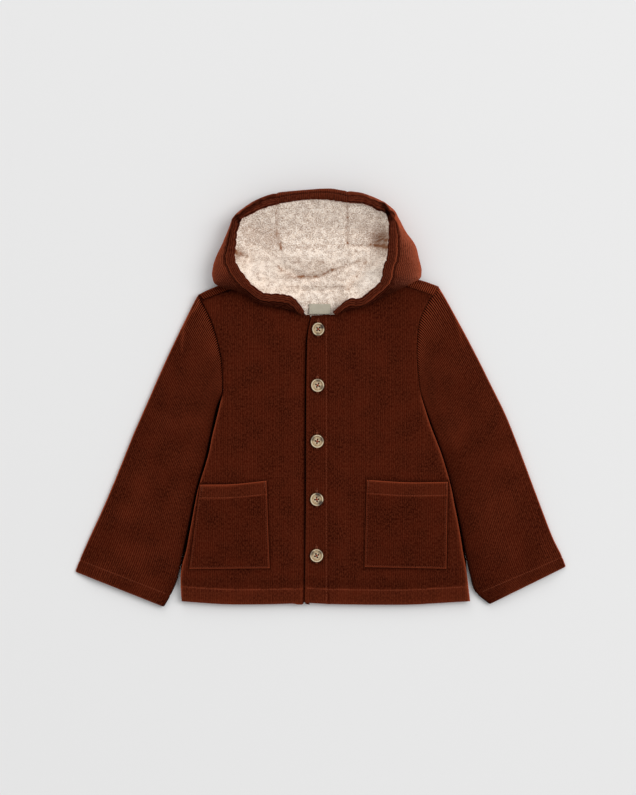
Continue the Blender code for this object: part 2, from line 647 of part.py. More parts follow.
# --- hood ------------------------------------------------------------------------------------------------
def hood_section(row, depth):
    """Points of one hood section, `depth` inside its outer face, from the rim to the root."""
    rim, out, root = np.array(row[0:2]), np.array(row[2:4]), np.array(row[6:8])
    top, base, root_z = row[4], row[5], row[8]
    reach = np.linalg.norm(out - rim)
    along = (out - rim) / reach
    bend = min(reach - 0.5, HOOD_ROUND)
    half = (top - base) / 2
    depth = min(depth, half - 0.5, bend - 0.4)
    turned = out - along * bend
    points = []
    for t in (0.0, 0.5):
        drop = RIM_DROP * (1 - t) ** 2 if reach > RIM_FLAT else 0
        points.append((*(rim + (turned - rim) * t), top - depth - drop))
    for angle in np.radians(TURN):
        edge = turned + along * (bend - depth) * math.cos(angle)
        points.append((*edge, base + half + (half - depth) * math.sin(angle)))
    for t in np.linspace(0, 1, FLOOR_STEPS + 1)[1:]:
        points.append((*(turned + (root - turned) * t), base + (root_z - base) * t + depth))
    return points


def lining_fold(points):
    """How far the hood's lining rises into soft folds where the hood has slumped."""
    x, y = points[..., 0] - HOOD_MIDDLE, points[..., 1]
    tall, at, half, bend = RIDGE
    folds = tall * np.exp(-(((y - at - bend * x**2) / half) ** 2))
    tall, at, half = SWELL
    folds = (folds + tall * np.exp(-(((y - at) / half) ** 2))) * np.exp(-((x / FOLD_ENDS) ** 4))
    tall, far, half, at = FLANKS
    return folds + tall * np.exp(-(((np.abs(x) - far) / half) ** 2)) * np.exp(-(((y - at) / half) ** 2))


def make_hood():
    """The centre strip and the two sides of the hood, and the teddy inside each."""
    table = np.array(HOOD, float)
    pieces = (
        ("side_right", 0, WEST_SEAM),
        ("center", WEST_SEAM, EAST_SEAM),
        ("side_left", EAST_SEAM, len(table) - 1),
    )
    for name, first, last in pieces:
        rows = trimmed(table[first : last + 1], first > 0, last < len(table) - 1)
        outer = np.array([hood_section(r, 0.0) for r in rows])
        inner = np.array([hood_section(r, CORD) for r in rows])
        wall_between("hood_" + name, outer, inner, "corduroy")
        low, high = max(first, LINING_ROWS[0]), min(last, LINING_ROWS[1])
        rows = trimmed(table[low : high + 1], first > 0, last < len(table) - 1)
        outer = np.array([hood_section(r, CORD + GAP)[LINING_STARTS:] for r in rows])
        inner = np.array([hood_section(r, LINED)[LINING_STARTS:] for r in rows])
        inner[:, -FLOOR_STEPS:, 2] += lining_fold(inner[:, -FLOOR_STEPS:])
        wall_between("hood_lining_" + name, outer, inner, "teddy")


def trimmed(rows, at_start, at_end):
    """Pull the first or last section back by half the seam gap, so that neighbours stay apart."""
    rows = rows.copy()
    if at_start:
        rows[0] += (rows[1] - rows[0]) * (GAP / 2) / np.linalg.norm(rows[1, 2:4] - rows[0, 2:4])
    if at_end:
        rows[-1] += (rows[-2] - rows[-1]) * (GAP / 2) / np.linalg.norm(rows[-2, 2:4] - rows[-1, 2:4])
    return rows


# --- buttons and label --------------------------------------------------------------------------------
def as_cutter(obj):
    """Move a helper out of the coat and hide it."""
    group = bpy.data.collections.get("cutters")
    if group is None:
        group = bpy.data.collections.new("cutters")
        bpy.context.scene.collection.children.link(group)
    for holder in list(obj.users_collection):
        holder.objects.unlink(obj)
    group.objects.link(obj)
    obj.hide_render = True
    obj.display_type = "WIRE"
    return obj


def combine(target, helper, operation):
    """Join or cut with an exact Boolean that stays on the object."""
    modifier = target.modifiers.new(operation.lower() + "_" + helper.name, "BOOLEAN")
    modifier.operation = operation
    modifier.solver = "EXACT"
    modifier.object = helper


def drill(x, y):
    """A hidden cylinder for one hole of a button."""
    bm = bmesh.new()
    size = {"radius1": BUTTON_HOLE * MM, "radius2": BUTTON_HOLE * MM, "depth": 4 * BUTTON_THICK * MM}
    bmesh.ops.create_cone(bm, cap_ends=True, segments=HOLE_STEPS, **size)
    mesh = bpy.data.meshes.new("drill")
    bm.to_mesh(mesh)
    bm.free()
    cutter = as_cutter(add_object("drill", mesh, "horn"))
    cutter.location = (x * MM, y * MM, 0)
    return cutter


def button_mesh():
    """A turned four-hole button: raised rim, dished middle, rounded back."""
    bm = bmesh.new()
    r, h = BUTTON_RADIUS * MM, BUTTON_THICK * MM
    verts = [bm.verts.new((across * r, 0, up * h)) for across, up in BUTTON_PROFILE]
    for a, b in zip(verts, verts[1:]):
        bm.edges.new((a, b))
    axis = {"cent": (0, 0, 0), "axis": (0, 0, 1), "angle": 2 * math.pi}
    bmesh.ops.spin(bm, geom=bm.verts[:] + bm.edges[:], steps=BUTTON_STEPS, use_merge=True, **axis)
    bmesh.ops.remove_doubles(bm, verts=bm.verts, dist=1e-6)
    bmesh.ops.recalc_face_normals(bm, faces=bm.faces)
    mesh = bpy.data.meshes.new("button_blank")
    bm.to_mesh(mesh)
    bm.free()
    blank = add_object("button_blank", mesh, "horn")
    cutters = [drill(sx * BUTTON_HOLE_AT, sy * BUTTON_HOLE_AT) for sx in (-1, 1) for sy in (-1, 1)]
    for cutter in cutters:
        combine(blank, cutter, "DIFFERENCE")
    bpy.context.view_layer.update()
    graph = bpy.context.evaluated_depsgraph_get()
    drilled = bpy.data.meshes.new_from_object(blank.evaluated_get(graph))
    drilled.name = "button"
    for helper in [blank, *cutters]:
        bpy.data.objects.remove(helper)
    return drilled


def make_buttons():
    """Five buttons on one mesh, each resting just above the highest cloth under it."""
    mesh = button_mesh()
    around = np.linspace(0, 2 * math.pi, 12)
    for index, (x, y) in enumerate(BUTTONS):
        seat = front_height(x + BUTTON_RADIUS * np.cos(around), y + BUTTON_RADIUS * np.sin(around)).max()
        button = add_object(f"button_{index + 1}", mesh, "horn")
        button.location = (x * MM, y * MM, (seat + GAP) * MM)


def make_label():
    """A plain woven label on the neck lining."""
    bm = bmesh.new()
    bmesh.ops.create_cube(bm, size=1.0)
    bmesh.ops.scale(bm, vec=[s * MM for s in LABEL_SIZE], verts=bm.verts)
    mesh = bpy.data.meshes.new("neck_label")
    bm.to_mesh(mesh)
    bm.free()
    label = add_object("neck_label", mesh, "label")
    height = NECK_LINING_TOP + GAP + LABEL_SIZE[2] / 2
    label.location = (LABEL_AT[0] * MM, LABEL_AT[1] * MM, height * MM)


def main():
    """Clear the scene and make every piece of the coat."""
    for obj in list(bpy.data.objects):
        bpy.data.objects.remove(obj)
    make_back()
    make_fronts_and_pockets()
    make_sleeves()
    make_neck_lining()
    make_hood()
    make_buttons()
    make_label()


main()
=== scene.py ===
"""Looks of a child's hooded corduroy coat with a teddy lining, laid flat on its back.

Every cloth piece is a grid of points worked out with numpy in millimetres and stored in metres.
The ribs of the corduroy, the curls of the teddy, the stitches and the creases are geometry.
"""

import math

import bmesh
import bpy
import numpy as np
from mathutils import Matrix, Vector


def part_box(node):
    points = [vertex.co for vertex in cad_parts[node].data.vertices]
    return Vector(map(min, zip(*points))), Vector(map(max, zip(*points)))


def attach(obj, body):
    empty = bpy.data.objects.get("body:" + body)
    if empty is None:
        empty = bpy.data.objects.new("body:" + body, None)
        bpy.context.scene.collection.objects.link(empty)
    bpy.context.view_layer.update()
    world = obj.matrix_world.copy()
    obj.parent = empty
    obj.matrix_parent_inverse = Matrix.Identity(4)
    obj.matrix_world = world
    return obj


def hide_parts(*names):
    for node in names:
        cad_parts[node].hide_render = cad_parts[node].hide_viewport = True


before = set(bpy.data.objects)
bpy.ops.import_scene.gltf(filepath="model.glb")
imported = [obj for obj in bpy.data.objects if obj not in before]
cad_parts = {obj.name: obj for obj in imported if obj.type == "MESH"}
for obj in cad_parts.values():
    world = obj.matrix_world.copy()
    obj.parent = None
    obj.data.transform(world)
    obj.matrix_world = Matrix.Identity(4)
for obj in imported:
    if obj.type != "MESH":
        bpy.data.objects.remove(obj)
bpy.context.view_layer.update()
MM = 0.001

# --- cloth sizes, in millimetres --------------------------------------------------------------------
GAP = 0.3
CORD = 2.0
RIB = 2.42  # from one rib of the corduroy to the next
RIB_TALL = 0.5
RIB_STEPS = np.array((0.0, 0.22, 0.5, 0.78))  # where a rib's cross-section is sampled
RIB_SHAPE = np.array((0.0, 0.86, 1.0, 0.86))  # and how high it stands there
STITCH = 2.9
STITCH_GAP = 0.7
STITCH_THICK = 0.55
HEM_LINE = 19.0  # hem stitching, up from the hem
CUFF_LINE = 16.5  # cuff stitching, up from the cuff
RIM_LINE = 12.5  # hood stitching, in from the rim
POCKET_LINE = 17.0  # hem stitching of a pocket, down from its mouth
POCKET_EDGE = 2.2  # stitching in from the sewn edges of a pocket
CROWN = 3.0  # how far the loft of the teddy lifts the middle of the fronts
HEM_LOSS = 4.5  # how much lower the fronts are where they are hemmed
EDGE_DIP = 3.0  # how far the under front dips towards the button edge
RIB_TONE = 0.02  # by how much every second rib is brighter

# --- sleeves: a row for each section from the armhole to the cuff -----------------------------------
SLEEVES = {
    "sleeve_right": (
        # inner_x, inner_y, outer_x, outer_y, thick
        (-128.6, 2.0, -164.0, 125.0, 14.6),
        (-135.2, -14.0, -187.2, 78.0, 15.6),
        (-142.2, -47.0, -206.6, 36.4, 16.6),
        (-150.2, -82.0, -224.7, -5.2, 16.6),
        (-160.9, -119.0, -243.0, -46.8, 16.0),
        (-169.2, -158.0, -261.0, -91.6, 15.4),
        (-178.2, -200.0, -280.5, -138.6, 14.6),
        (-185.2, -234.0, -302.0, -185.6, 12.4),
        (-194.5, -256.0, -312.6, -210.0, 10.0),
        (-203.2, -271.5, -318.8, -225.6, 8.8),
    ),
    "sleeve_left": (
        (132.2, 0.0, 161.5, 131.5, 14.6),
        (138.0, -18.0, 184.4, 90.0, 15.6),
        (149.6, -50.0, 203.8, 53.0, 16.6),
        (160.6, -82.0, 222.6, 15.0, 16.6),
        (170.5, -119.0, 241.2, -23.0, 16.0),
        (179.4, -158.0, 259.8, -70.0, 15.4),
        (187.2, -198.0, 279.8, -123.5, 14.6),
        (193.4, -228.0, 301.0, -179.0, 12.4),
        (200.4, -251.0, 313.0, -203.5, 10.0),
        (219.4, -268.0, 319.0, -219.0, 8.8),
    ),
}

# --- hood: a row for each section, from the west front corner over the top to the east one ----------
HOOD = (
    # rim_x, rim_y, out_x, out_y, top, base, root_x, root_y, root_z
    (-21.5, 111.5, -23.5, 108.3, 19.5, 14.9, -23.0, 109.6, 14.9),
    (-36.0, 129.0, -41.0, 114.5, 24.0, 15.0, -41.0, 117.5, 15.0),
    (-52.0, 133.3, -58.0, 117.8, 26.0, 15.4, -57.0, 122.0, 15.4),
    (-73.0, 134.6, -78.0, 122.5, 28.0, 15.8, -69.5, 132.0, 15.6),
    (-87.0, 143.5, -101.0, 135.6, 31.0, 16.0, -83.0, 141.0, 15.6),
    (-95.5, 152.5, -125.0, 142.8, 33.0, 15.8, -91.0, 151.0, 15.4),
    (-101.0, 160.0, -136.5, 148.0, 34.0, 15.6, -95.0, 160.4, 15.4),
    (-104.0, 163.5, -140.0, 155.5, 34.0, 0.0, -81.0, 169.0, 0.0),
    (-107.5, 169.0, -140.8, 164.0, 35.0, 0.0, -73.5, 163.5, 0.0),
    (-112.0, 180.5, -137.0, 179.0, 36.0, 0.0, -67.0, 157.7, 0.0),
    (-111.0, 196.0, -129.8, 195.0, 36.5, 0.0, -61.5, 154.6, 0.0),
    (-109.3, 214.0, -120.8, 215.0, 37.0, 0.0, -57.0, 151.8, 0.0),
    (-104.5, 230.0, -112.0, 234.5, 37.0, 0.0, -53.0, 149.8, 0.0),
    (-94.5, 237.3, -98.5, 247.0, 36.0, 0.0, -50.0, 148.5, 0.0),
    (-78.0, 245.3, -80.5, 258.0, 35.0, 0.0, -46.5, 147.0, 0.0),
    (-57.8, 252.0, -57.8, 265.6, 34.0, 0.0, -42.5, 145.5, 0.0),
    (-35.0, 256.5, -35.0, 269.0, 33.5, 0.0, -22.0, 144.2, 0.0),
    (-11.0, 258.9, -11.0, 270.9, 33.5, 0.0, -4.0, 143.6, 0.0),
    (12.0, 258.0, 12.0, 270.9, 33.5, 0.0, 14.0, 144.0, 0.0),
    (34.6, 254.8, 35.0, 268.5, 34.0, 0.0, 34.5, 145.6, 0.0),
    (56.0, 252.8, 57.5, 264.8, 35.0, 0.0, 39.5, 147.2, 0.0),
    (73.0, 245.6, 77.0, 256.8, 36.0, 0.0, 44.0, 148.6, 0.0),
    (85.5, 239.0, 94.0, 245.0, 37.0, 0.0, 48.0, 149.9, 0.0),
    (89.8, 225.0, 102.0, 231.0, 37.0, 0.0, 52.5, 151.6, 0.0),
    (89.6, 210.0, 111.0, 214.5, 37.0, 0.0, 57.5, 153.8, 0.0),
    (88.4, 195.0, 122.3, 198.5, 36.5, 0.0, 63.0, 156.6, 0.0),
    (88.0, 185.0, 127.0, 184.0, 36.0, 0.0, 69.0, 159.9, 0.0),
    (84.8, 175.5, 131.0, 169.5, 35.0, 0.0, 75.5, 164.4, 0.0),
    (82.5, 169.0, 131.0, 161.5, 34.0, 0.0, 82.0, 170.0, 0.0),
    (81.5, 162.0, 128.5, 154.8, 34.0, 15.6, 83.0, 165.2, 15.4),
    (80.0, 154.0, 117.5, 149.2, 33.0, 15.8, 73.5, 152.0, 15.4),
    (74.5, 146.0, 97.0, 139.2, 31.0, 16.0, 71.5, 142.0, 15.6),
    (64.0, 137.0, 75.0, 127.0, 28.0, 15.8, 69.5, 132.0, 15.6),
    (51.5, 127.8, 53.5, 118.4, 26.0, 15.4, 55.0, 121.5, 15.4),
    (36.5, 126.8, 34.5, 113.8, 24.0, 15.0, 35.5, 116.5, 15.0),
    (17.0, 111.0, 18.5, 108.0, 19.5, 14.9, 18.0, 109.3, 14.9),
)
WEST_SEAM, EAST_SEAM = 15, 19  # rows of HOOD where the centre strip is sewn to the sides
HOOD_ROUND = 17.0  # how far in from the widest point the cloth has turned
RIM_DROP = 2.5  # how far the hood's cloth comes down at its rim

SHARP = math.radians(80)  # edges that bend more than this aren't shaded smooth
LATTICE = 64  # cells of a noise lattice before it repeats
SIDE_POINTS = 240  # points of a panel's smoothed side
INSET_POINTS = 60  # about as many of them are used to measure distances
LOOP_LIMIT = 2000  # more corners than any panel's outline has
SPINDLE = 5  # points round a stitch, and along it


# --- small tools ------------------------------------------------------------------------------------
def ease(value, low, high):
    """Smooth step: 0 below `low`, 1 above `high`, 3t^2 - 2t^3 between."""
    t = np.clip((value - low) / (high - low), 0, 1)
    return t * t * (3 - 2 * t)


def dome(t):
    """Quarter circle: 0 at t = 0, rising steeply to 1 at t = 1."""
    return np.sqrt(np.maximum(0, 1 - (1 - np.clip(t, 0, 1)) ** 2))


def stacked(*parts):
    """Arrays of coordinates put together as one array of points."""
    return np.stack(parts, axis=-1)


def lengths(vectors):
    """Length of each vector in a list, as a column."""
    return np.linalg.norm(vectors, axis=1)[:, None]


def run_along(points):
    """Distance run along a line of points, from 0 at the first."""
    return np.concatenate([[0], np.cumsum(np.linalg.norm(np.diff(points, axis=0), axis=1))])


def smooth_curve(points, count):
    """Catmull-Rom curve through the points, resampled to `count` points at even spacing."""
    p = np.array(points, float)
    p = np.vstack([2 * p[0] - p[1], p, 2 * p[-1] - p[-2]])
    t = np.linspace(0, 1, 24, endpoint=False)[:, None]
    spans = [
        0.5 * (2 * b + (c - a) * t + (2 * a - 5 * b + 4 * c - d) * t**2 + (3 * b - a - 3 * c + d) * t**3)
        for a, b, c, d in zip(p[:-3], p[1:-2], p[2:-1], p[3:])
    ]
    fine = np.vstack(spans + [p[-2:-1]])
    run = run_along(fine)
    at = np.linspace(0, run[-1], count)
    return np.stack([np.interp(at, run, fine[:, k]) for k in range(p.shape[1])], axis=1)


def smooth_rows(table, at):
    """Catmull-Rom interpolation of a table's rows at fractional row numbers."""
    rows = np.vstack([2 * table[0] - table[1], table, 2 * table[-1] - table[-2], table[-1]])
    at = np.asarray(at, float)
    i = np.clip(np.floor(at).astype(int), 0, len(table) - 2)
    t = (at - i)[:, None]
    a, b, c, d = rows[i], rows[i + 1], rows[i + 2], rows[i + 3]
    return 0.5 * (2 * b + (c - a) * t + (2 * a - 5 * b + 4 * c - d) * t**2 + (3 * b - a - 3 * c + d) * t**3)


def soft_noise(x, y, size, seed):
    """Value noise from -1 to 1: random numbers on a lattice of `size`, eased between."""
    lattice = np.random.RandomState(seed).uniform(-1, 1, (LATTICE, LATTICE))
    u, v = np.asarray(x) / size + 31.7, np.asarray(y) / size + 17.3
    i, j = np.floor(u).astype(int), np.floor(v).astype(int)
    s, t = ease(u - i, 0, 1), ease(v - j, 0, 1)

    def corner(di, dj):
        return lattice[(i + di) % LATTICE, (j + dj) % LATTICE]

    this_row = corner(0, 0) * (1 - s) + corner(1, 0) * s
    next_row = corner(0, 1) * (1 - s) + corner(1, 1) * s
    return this_row * (1 - t) + next_row * t


def tufts(x, y, size, seed):
    """Cells round points jittered on a lattice of `size`: nearness to a cell's own point, and to its border.

    The first is a dome, 1 at the point; the second runs from 0 on the border to 1 well inside.
    """
    rng = np.random.RandomState(seed)
    jitter = rng.uniform(0.05, 0.95, (LATTICE, LATTICE, 2))
    tall = rng.uniform(0.45, 1.0, (LATTICE, LATTICE))
    u, v = np.asarray(x) / size + 11.3, np.asarray(y) / size + 23.9
    i, j = np.floor(u).astype(int), np.floor(v).astype(int)
    near, second, height = (np.full(np.shape(u), start) for start in (9.0, 9.0, 0.0))
    for di in (-1, 0, 1):
        for dj in (-1, 0, 1):
            cell = ((i + di) % LATTICE, (j + dj) % LATTICE)
            far = np.hypot(u - i - di - jitter[cell][..., 0], v - j - dj - jitter[cell][..., 1])
            closer = far < near
            second = np.where(closer, near, np.minimum(second, far))
            height = np.where(closer, tall[cell], height)
            near = np.where(closer, far, near)
    return height * np.maximum(0, 1 - near**2), ease(second - near, 0, 0.32)


def distance_to(x, y, line):
    """Distance from each point to a polyline."""
    best = np.full(np.shape(x), 1e9)
    for a, b in zip(line[:-1], line[1:]):
        d = b - a
        t = np.clip(((x - a[0]) * d[0] + (y - a[1]) * d[1]) / max(d @ d, 1e-9), 0, 1)
        best = np.minimum(best, np.hypot(x - a[0] - t * d[0], y - a[1] - t * d[1]))
    return best


def creased(x, y, rows):
    """Sum of soft ridges and troughs: each has two ends, a width and a height that dies at the ends."""
    lift = np.zeros(np.shape(x))
    for ax, ay, bx, by, width, height in rows:
        dx, dy = bx - ax, by - ay
        long = math.hypot(dx, dy)
        along = ((x - ax) * dx + (y - ay) * dy) / long**2
        across = ((x - ax) * dy - (y - ay) * dx) / long
        bow = 0.06 * long * (1 - (2 * along - 1) ** 2)
        lift += (
            height
            * np.exp(-(((across - bow) / width) ** 2))
            * ease(along, -0.15, 0.3)
            * (1 - ease(along, 0.7, 1.15))
        )
    return lift


def ribbed(low, high, pitch=RIB):
    """Positions across the ribs between two limits, and the height of the rib at each."""
    first, last = math.floor(low / pitch), math.ceil(high / pitch)
    at = ((np.arange(first, last + 1)[:, None] + RIB_STEPS) * pitch).ravel()
    return at, np.tile(RIB_SHAPE, last - first + 1)


# --- meshes -----------------------------------------------------------------------------------------
def grid_quads(rows, cols, wrap=False):
    """Corner numbers of the quads of a grid stored row by row."""
    across = np.arange(cols if wrap else cols - 1)
    a = (np.arange(rows - 1)[:, None] * cols + across).ravel()
    b = (np.arange(rows - 1)[:, None] * cols + (across + 1) % cols).ravel()
    return np.stack([a, b, b + cols, a + cols], axis=1)


def placed(name, data=None):
    """New object in the scene."""
    made = bpy.data.objects.new(name, data)
    bpy.context.scene.collection.objects.link(made)
    return made


def new_piece(name, points, faces, material, facts, uv):
    """Mesh object from points in mm, with a value per point for each named fact and a UV in mm.

    Shaded smooth, but for edges sharper than SHARP.
    """
    mesh = bpy.data.meshes.new(name)
    mesh.from_pydata((np.asarray(points, float) * MM).tolist(), [], [list(map(int, f)) for f in faces])
    for fact, values in facts.items():
        held = mesh.attributes.new(fact, "FLOAT", "POINT")
        held.data.foreach_set("value", np.asarray(values, np.float32).ravel())
    layer = mesh.uv_layers.new(name="cloth")
    corner = np.zeros(len(mesh.loops), int)
    mesh.loops.foreach_get("vertex_index", corner)
    layer.data.foreach_set("uv", np.asarray(uv, np.float32).reshape(-1, 2)[corner].ravel())
    made = bmesh.new()
    made.from_mesh(mesh)
    bmesh.ops.remove_doubles(made, verts=made.verts, dist=0.004 * MM)
    bmesh.ops.dissolve_degenerate(made, edges=made.edges, dist=0.002 * MM)
    made.to_mesh(mesh)
    made.free()
    mesh.polygons.foreach_set("use_smooth", np.full(len(mesh.polygons), True))
    mesh.set_sharp_from_angle(angle=SHARP)
    obj = placed(name, mesh)
    mesh.materials.append(material)
    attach(obj, "root")
    return obj


def ring_of(rows, cols):
    """Point numbers round the edge of a grid, first row first."""
    grid = np.arange(rows * cols).reshape(rows, cols)
    return np.concatenate([grid[0, :-1], grid[:-1, -1], grid[-1, :0:-1], grid[:0:-1, 0]])


def shut(grid, floor, facts, uv, flip=False):
    """Shell of a grid: its edge goes straight to `floor`, where one face shuts it."""
    rows, cols = grid.shape[:2]
    ring = ring_of(rows, cols)
    n, k = rows * cols, len(ring)
    foot = grid.reshape(-1, 3)[ring].copy()
    foot[:, 2] = floor
    nxt = (np.arange(k) + 1) % k
    skirt = np.stack([ring[nxt], ring, n + np.arange(k), n + nxt], axis=1)
    faces = grid_quads(rows, cols).tolist() + skirt.tolist() + [list(range(n + k - 1, n - 1, -1))]
    facts = {key: np.concatenate([np.ravel(v), np.ravel(v)[ring]]) for key, v in facts.items()}
    uv = np.asarray(uv).reshape(-1, 2)
    points = np.vstack([grid.reshape(-1, 3), foot])
    if flip:
        faces = [face[::-1] for face in faces]
    return points, faces, facts, np.vstack([uv, uv[ring]])


def layered(grid, thick, facts, uv):
    """Shell of a grid: a second face lies `thick` inside the first and is joined to it round the edge."""
    rows, cols = grid.shape[:2]
    ring, n = ring_of(rows, cols), rows * cols
    nxt = np.roll(ring, -1)
    quads = grid_quads(rows, cols)
    faces = np.vstack([quads, quads[:, ::-1] + n, np.stack([nxt, ring, ring + n, nxt + n], axis=1)]).tolist()
    inner = grid - thick * outward(grid)
    facts = {key: np.tile(np.ravel(v), 2) for key, v in facts.items()}
    points = np.vstack([grid.reshape(-1, 3), inner.reshape(-1, 3)])
    return points, faces, facts, np.tile(np.reshape(uv, (-1, 2)), (2, 1))


def joined(shells):
    """Several closed shells as the parts of one mesh."""
    points, faces, facts, uv = [], [], {key: [] for key in shells[0][2]}, []
    for shell in shells:
        start = sum(len(p) for p in points)
        points.append(shell[0])
        faces += [[i + start for i in face] for face in shell[1]]
        uv.append(shell[3])
        for key in facts:
            facts[key].append(shell[2][key])
    return np.vstack(points), faces, {key: np.concatenate(v) for key, v in facts.items()}, np.vstack(uv)


def closed_panel(name, grid, floor, material, facts, uv):
    """Mesh object of a grid shut at `floor`."""
    points, faces, facts, uv = shut(grid, floor, facts, uv)
    return new_piece(name, points, faces, material, facts, uv)


def dressed(piece, node):
    """The piece stands for its CAD node, which is hidden."""
    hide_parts(node)
    return piece


# --- plans of the flat panels, read from the frame --------------------------------------------------
def plan_loop(node, facing=1):
    """Outline of a panel in plan: the edges that only one upward (or downward) face has, end to end."""
    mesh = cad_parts[node].data
    co = np.array([v.co for v in mesh.vertices]) / MM
    keys = [tuple(np.round(p, 2)) for p in co]
    edges = {}
    for face in mesh.polygons:
        if face.normal.z * facing > 0.3:
            loop = [keys[i] for i in face.vertices][::facing]
            for a, b in zip(loop, loop[1:] + loop[:1]):
                edges[(a, b)] = True
    follow = {a: b for a, b in edges if (b, a) not in edges}
    start = max(follow, key=lambda p: p[0] - p[1])
    loop, at = [start], follow[start]
    while at != start and len(loop) < LOOP_LIMIT:
        loop.append(at)
        at = follow[at]
    return np.array(loop)[:, :2]


class Plan:
    """The four sides of a panel: bottom and top as y of x, left and right as x of y."""

    def __init__(self, node, smooth=True, pick=((-1, -1), (1, -1), (1, 1), (-1, 1)), facing=1):
        loop = plan_loop(node, facing)
        corners = [int((loop @ np.array(d, float)).argmax()) for d in pick]
        self.loop = np.vstack([loop, loop[:1]])
        sides = []
        for a, b in zip(corners, corners[1:] + corners[:1]):
            run = (np.arange(a, b + 1 if b > a else b + 1 + len(loop))) % len(loop)
            side = loop[run]
            sides.append(smooth_curve(side, SIDE_POINTS) if smooth and len(side) > 3 else side)
        self.sides = sides
        self.corner = [loop[c] for c in corners]

    def bottom(self, x):
        return np.interp(x, self.sides[0][:, 0], self.sides[0][:, 1])

    def right(self, y):
        return np.interp(y, self.sides[1][:, 1], self.sides[1][:, 0])

    def top(self, x):
        return np.interp(x, self.sides[2][::-1, 0], self.sides[2][::-1, 1])

    def left(self, y):
        return np.interp(y, self.sides[3][::-1, 1], self.sides[3][::-1, 0])

    def fill(self, x, y):
        """Clamp a net of points to the panel: what falls outside gathers on its edge."""
        y = np.clip(y, self.bottom(x), self.top(x))
        return np.clip(x, self.left(y), self.right(y)), y

    def inset(self, x, y):
        """Distance in from each side: bottom, right, top, left."""
        return [distance_to(x, y, side[:: max(1, len(side) // INSET_POINTS)]) for side in self.sides]


def rows_between(low, high, step, dense=()):
    """Row heights `step` apart, with closer rows in each dense band (centre, half width, step)."""
    rows = list(np.arange(low, high, step)) + [high]
    for middle, half, fine in dense:
        close = list(np.arange(middle - half, middle + half + 0.01, fine))
        rows = [r for r in rows if abs(r - middle) > half] + close
    return np.unique(np.clip(rows, low, high))


# --- finishes ---------------------------------------------------------------------------------------
class Nodes:
    """Short calls for building a node tree."""

    def __init__(self, tree):
        self.tree = tree

    def add(self, kind, settings=None, **inputs):
        """Add a node, set its properties, and fill or link its inputs by name (spaces as _)."""
        node = self.tree.nodes.new("ShaderNode" + kind)
        for key, value in (settings or {}).items():
            setattr(node, key, value)
        for key, value in inputs.items():
            name = key.replace("_", " ")
            socket = node.inputs[int(key[1:])] if key[1:].isdigit() else node.inputs[name]
            if isinstance(value, bpy.types.NodeSocket):
                self.tree.links.new(value, socket)
            else:
                socket.default_value = value
        return node

    def link(self, output, socket):
        self.tree.links.new(output, socket)

    def fact(self, name):
        """Value that a mesh holds per point."""
        return self.add("Attribute", {"attribute_name": name}).outputs["Fac"]

    def cloth(self):
        """The piece's own cloth coordinates, which are in millimetres."""
        return self.add("UVMap", {"uv_map": "cloth"}).outputs[0]

    def scaled(self, vector, factor):
        return self.add("VectorMath", {"operation": "SCALE"}, i0=vector, i3=factor).outputs[0]

    def noise(self, vector, scale, detail, roughness):
        node = self.add("TexNoise", Vector=vector, Scale=scale, Detail=detail, Roughness=roughness)
        return node.outputs["Fac"]

    def remap(self, value, low, high, to_low, to_high):
        return self.add("MapRange", i0=value, i1=low, i2=high, i3=to_low, i4=to_high).outputs["Result"]

    def mix(self, factor, a, b, blend="MIX"):
        node = self.add("Mix", {"data_type": "RGBA", "blend_type": blend}, i0=factor)
        for socket, value in ((node.inputs[6], a), (node.inputs[7], b)):
            if isinstance(value, bpy.types.NodeSocket):
                self.tree.links.new(value, socket)
            else:
                socket.default_value = value
        return node.outputs[2]

    def math(self, operation, a, b=0.0):
        """One step of arithmetic."""
        return self.add("Math", {"operation": operation}, i0=a, i1=b).outputs[0]


def group(name, inputs, outputs):
    """New shader node group with named sockets. Returns the group, its Nodes, and its ends."""
    tree = bpy.data.node_groups.new(name, "ShaderNodeTree")
    for label, kind, value in inputs:
        socket = tree.interface.new_socket(label, in_out="INPUT", socket_type="NodeSocket" + kind)
        if value is not None:
            socket.default_value = value
    for label, kind in outputs:
        tree.interface.new_socket(label, in_out="OUTPUT", socket_type="NodeSocket" + kind)
    return tree, Nodes(tree), tree.nodes.new("NodeGroupInput"), tree.nodes.new("NodeGroupOutput")


def nap_group():
    """Patchy tone of brushed pile: slow patches, streaks along the cloth and fine hairs."""
    tree, n, take, give = group(
        "brushed_nap",
        [
            ("Cloth", "Vector", None),
            ("Patch Size", "Float", 45.0),
            ("Streak", "Float", 0.5),
            ("Hair Size", "Float", 0.35),
            ("Grain", "Float", 1.0),
        ],
        [("Tone", "Float"), ("Hair", "Float")],
    )
    cloth = take.outputs["Cloth"]
    per_patch = n.math("DIVIDE", 1.0, take.outputs["Patch Size"])
    patch = n.noise(n.scaled(cloth, per_patch), 1.0, 3.0, 0.55)
    long = n.add("Mapping", Vector=cloth, Scale=(0.9, 0.07, 0.5)).outputs[0]
    streak = n.noise(long, 1.0, 2.0, 0.6)
    per_hair = n.math("DIVIDE", 1.0, take.outputs["Hair Size"])
    grain = n.add("CombineXYZ", X=1.0, Y=take.outputs["Grain"], Z=1.0).outputs[0]
    drawn = n.add("VectorMath", {"operation": "MULTIPLY"}, i0=cloth, i1=grain).outputs[0]
    hair = n.noise(n.scaled(drawn, per_hair), 1.0, 2.0, 0.7)
    streaked = n.math("MULTIPLY", n.math("SUBTRACT", streak, 0.5), take.outputs["Streak"])
    n.link(n.math("ADD", patch, streaked), give.inputs["Tone"])
    n.link(hair, give.inputs["Hair"])
    return tree


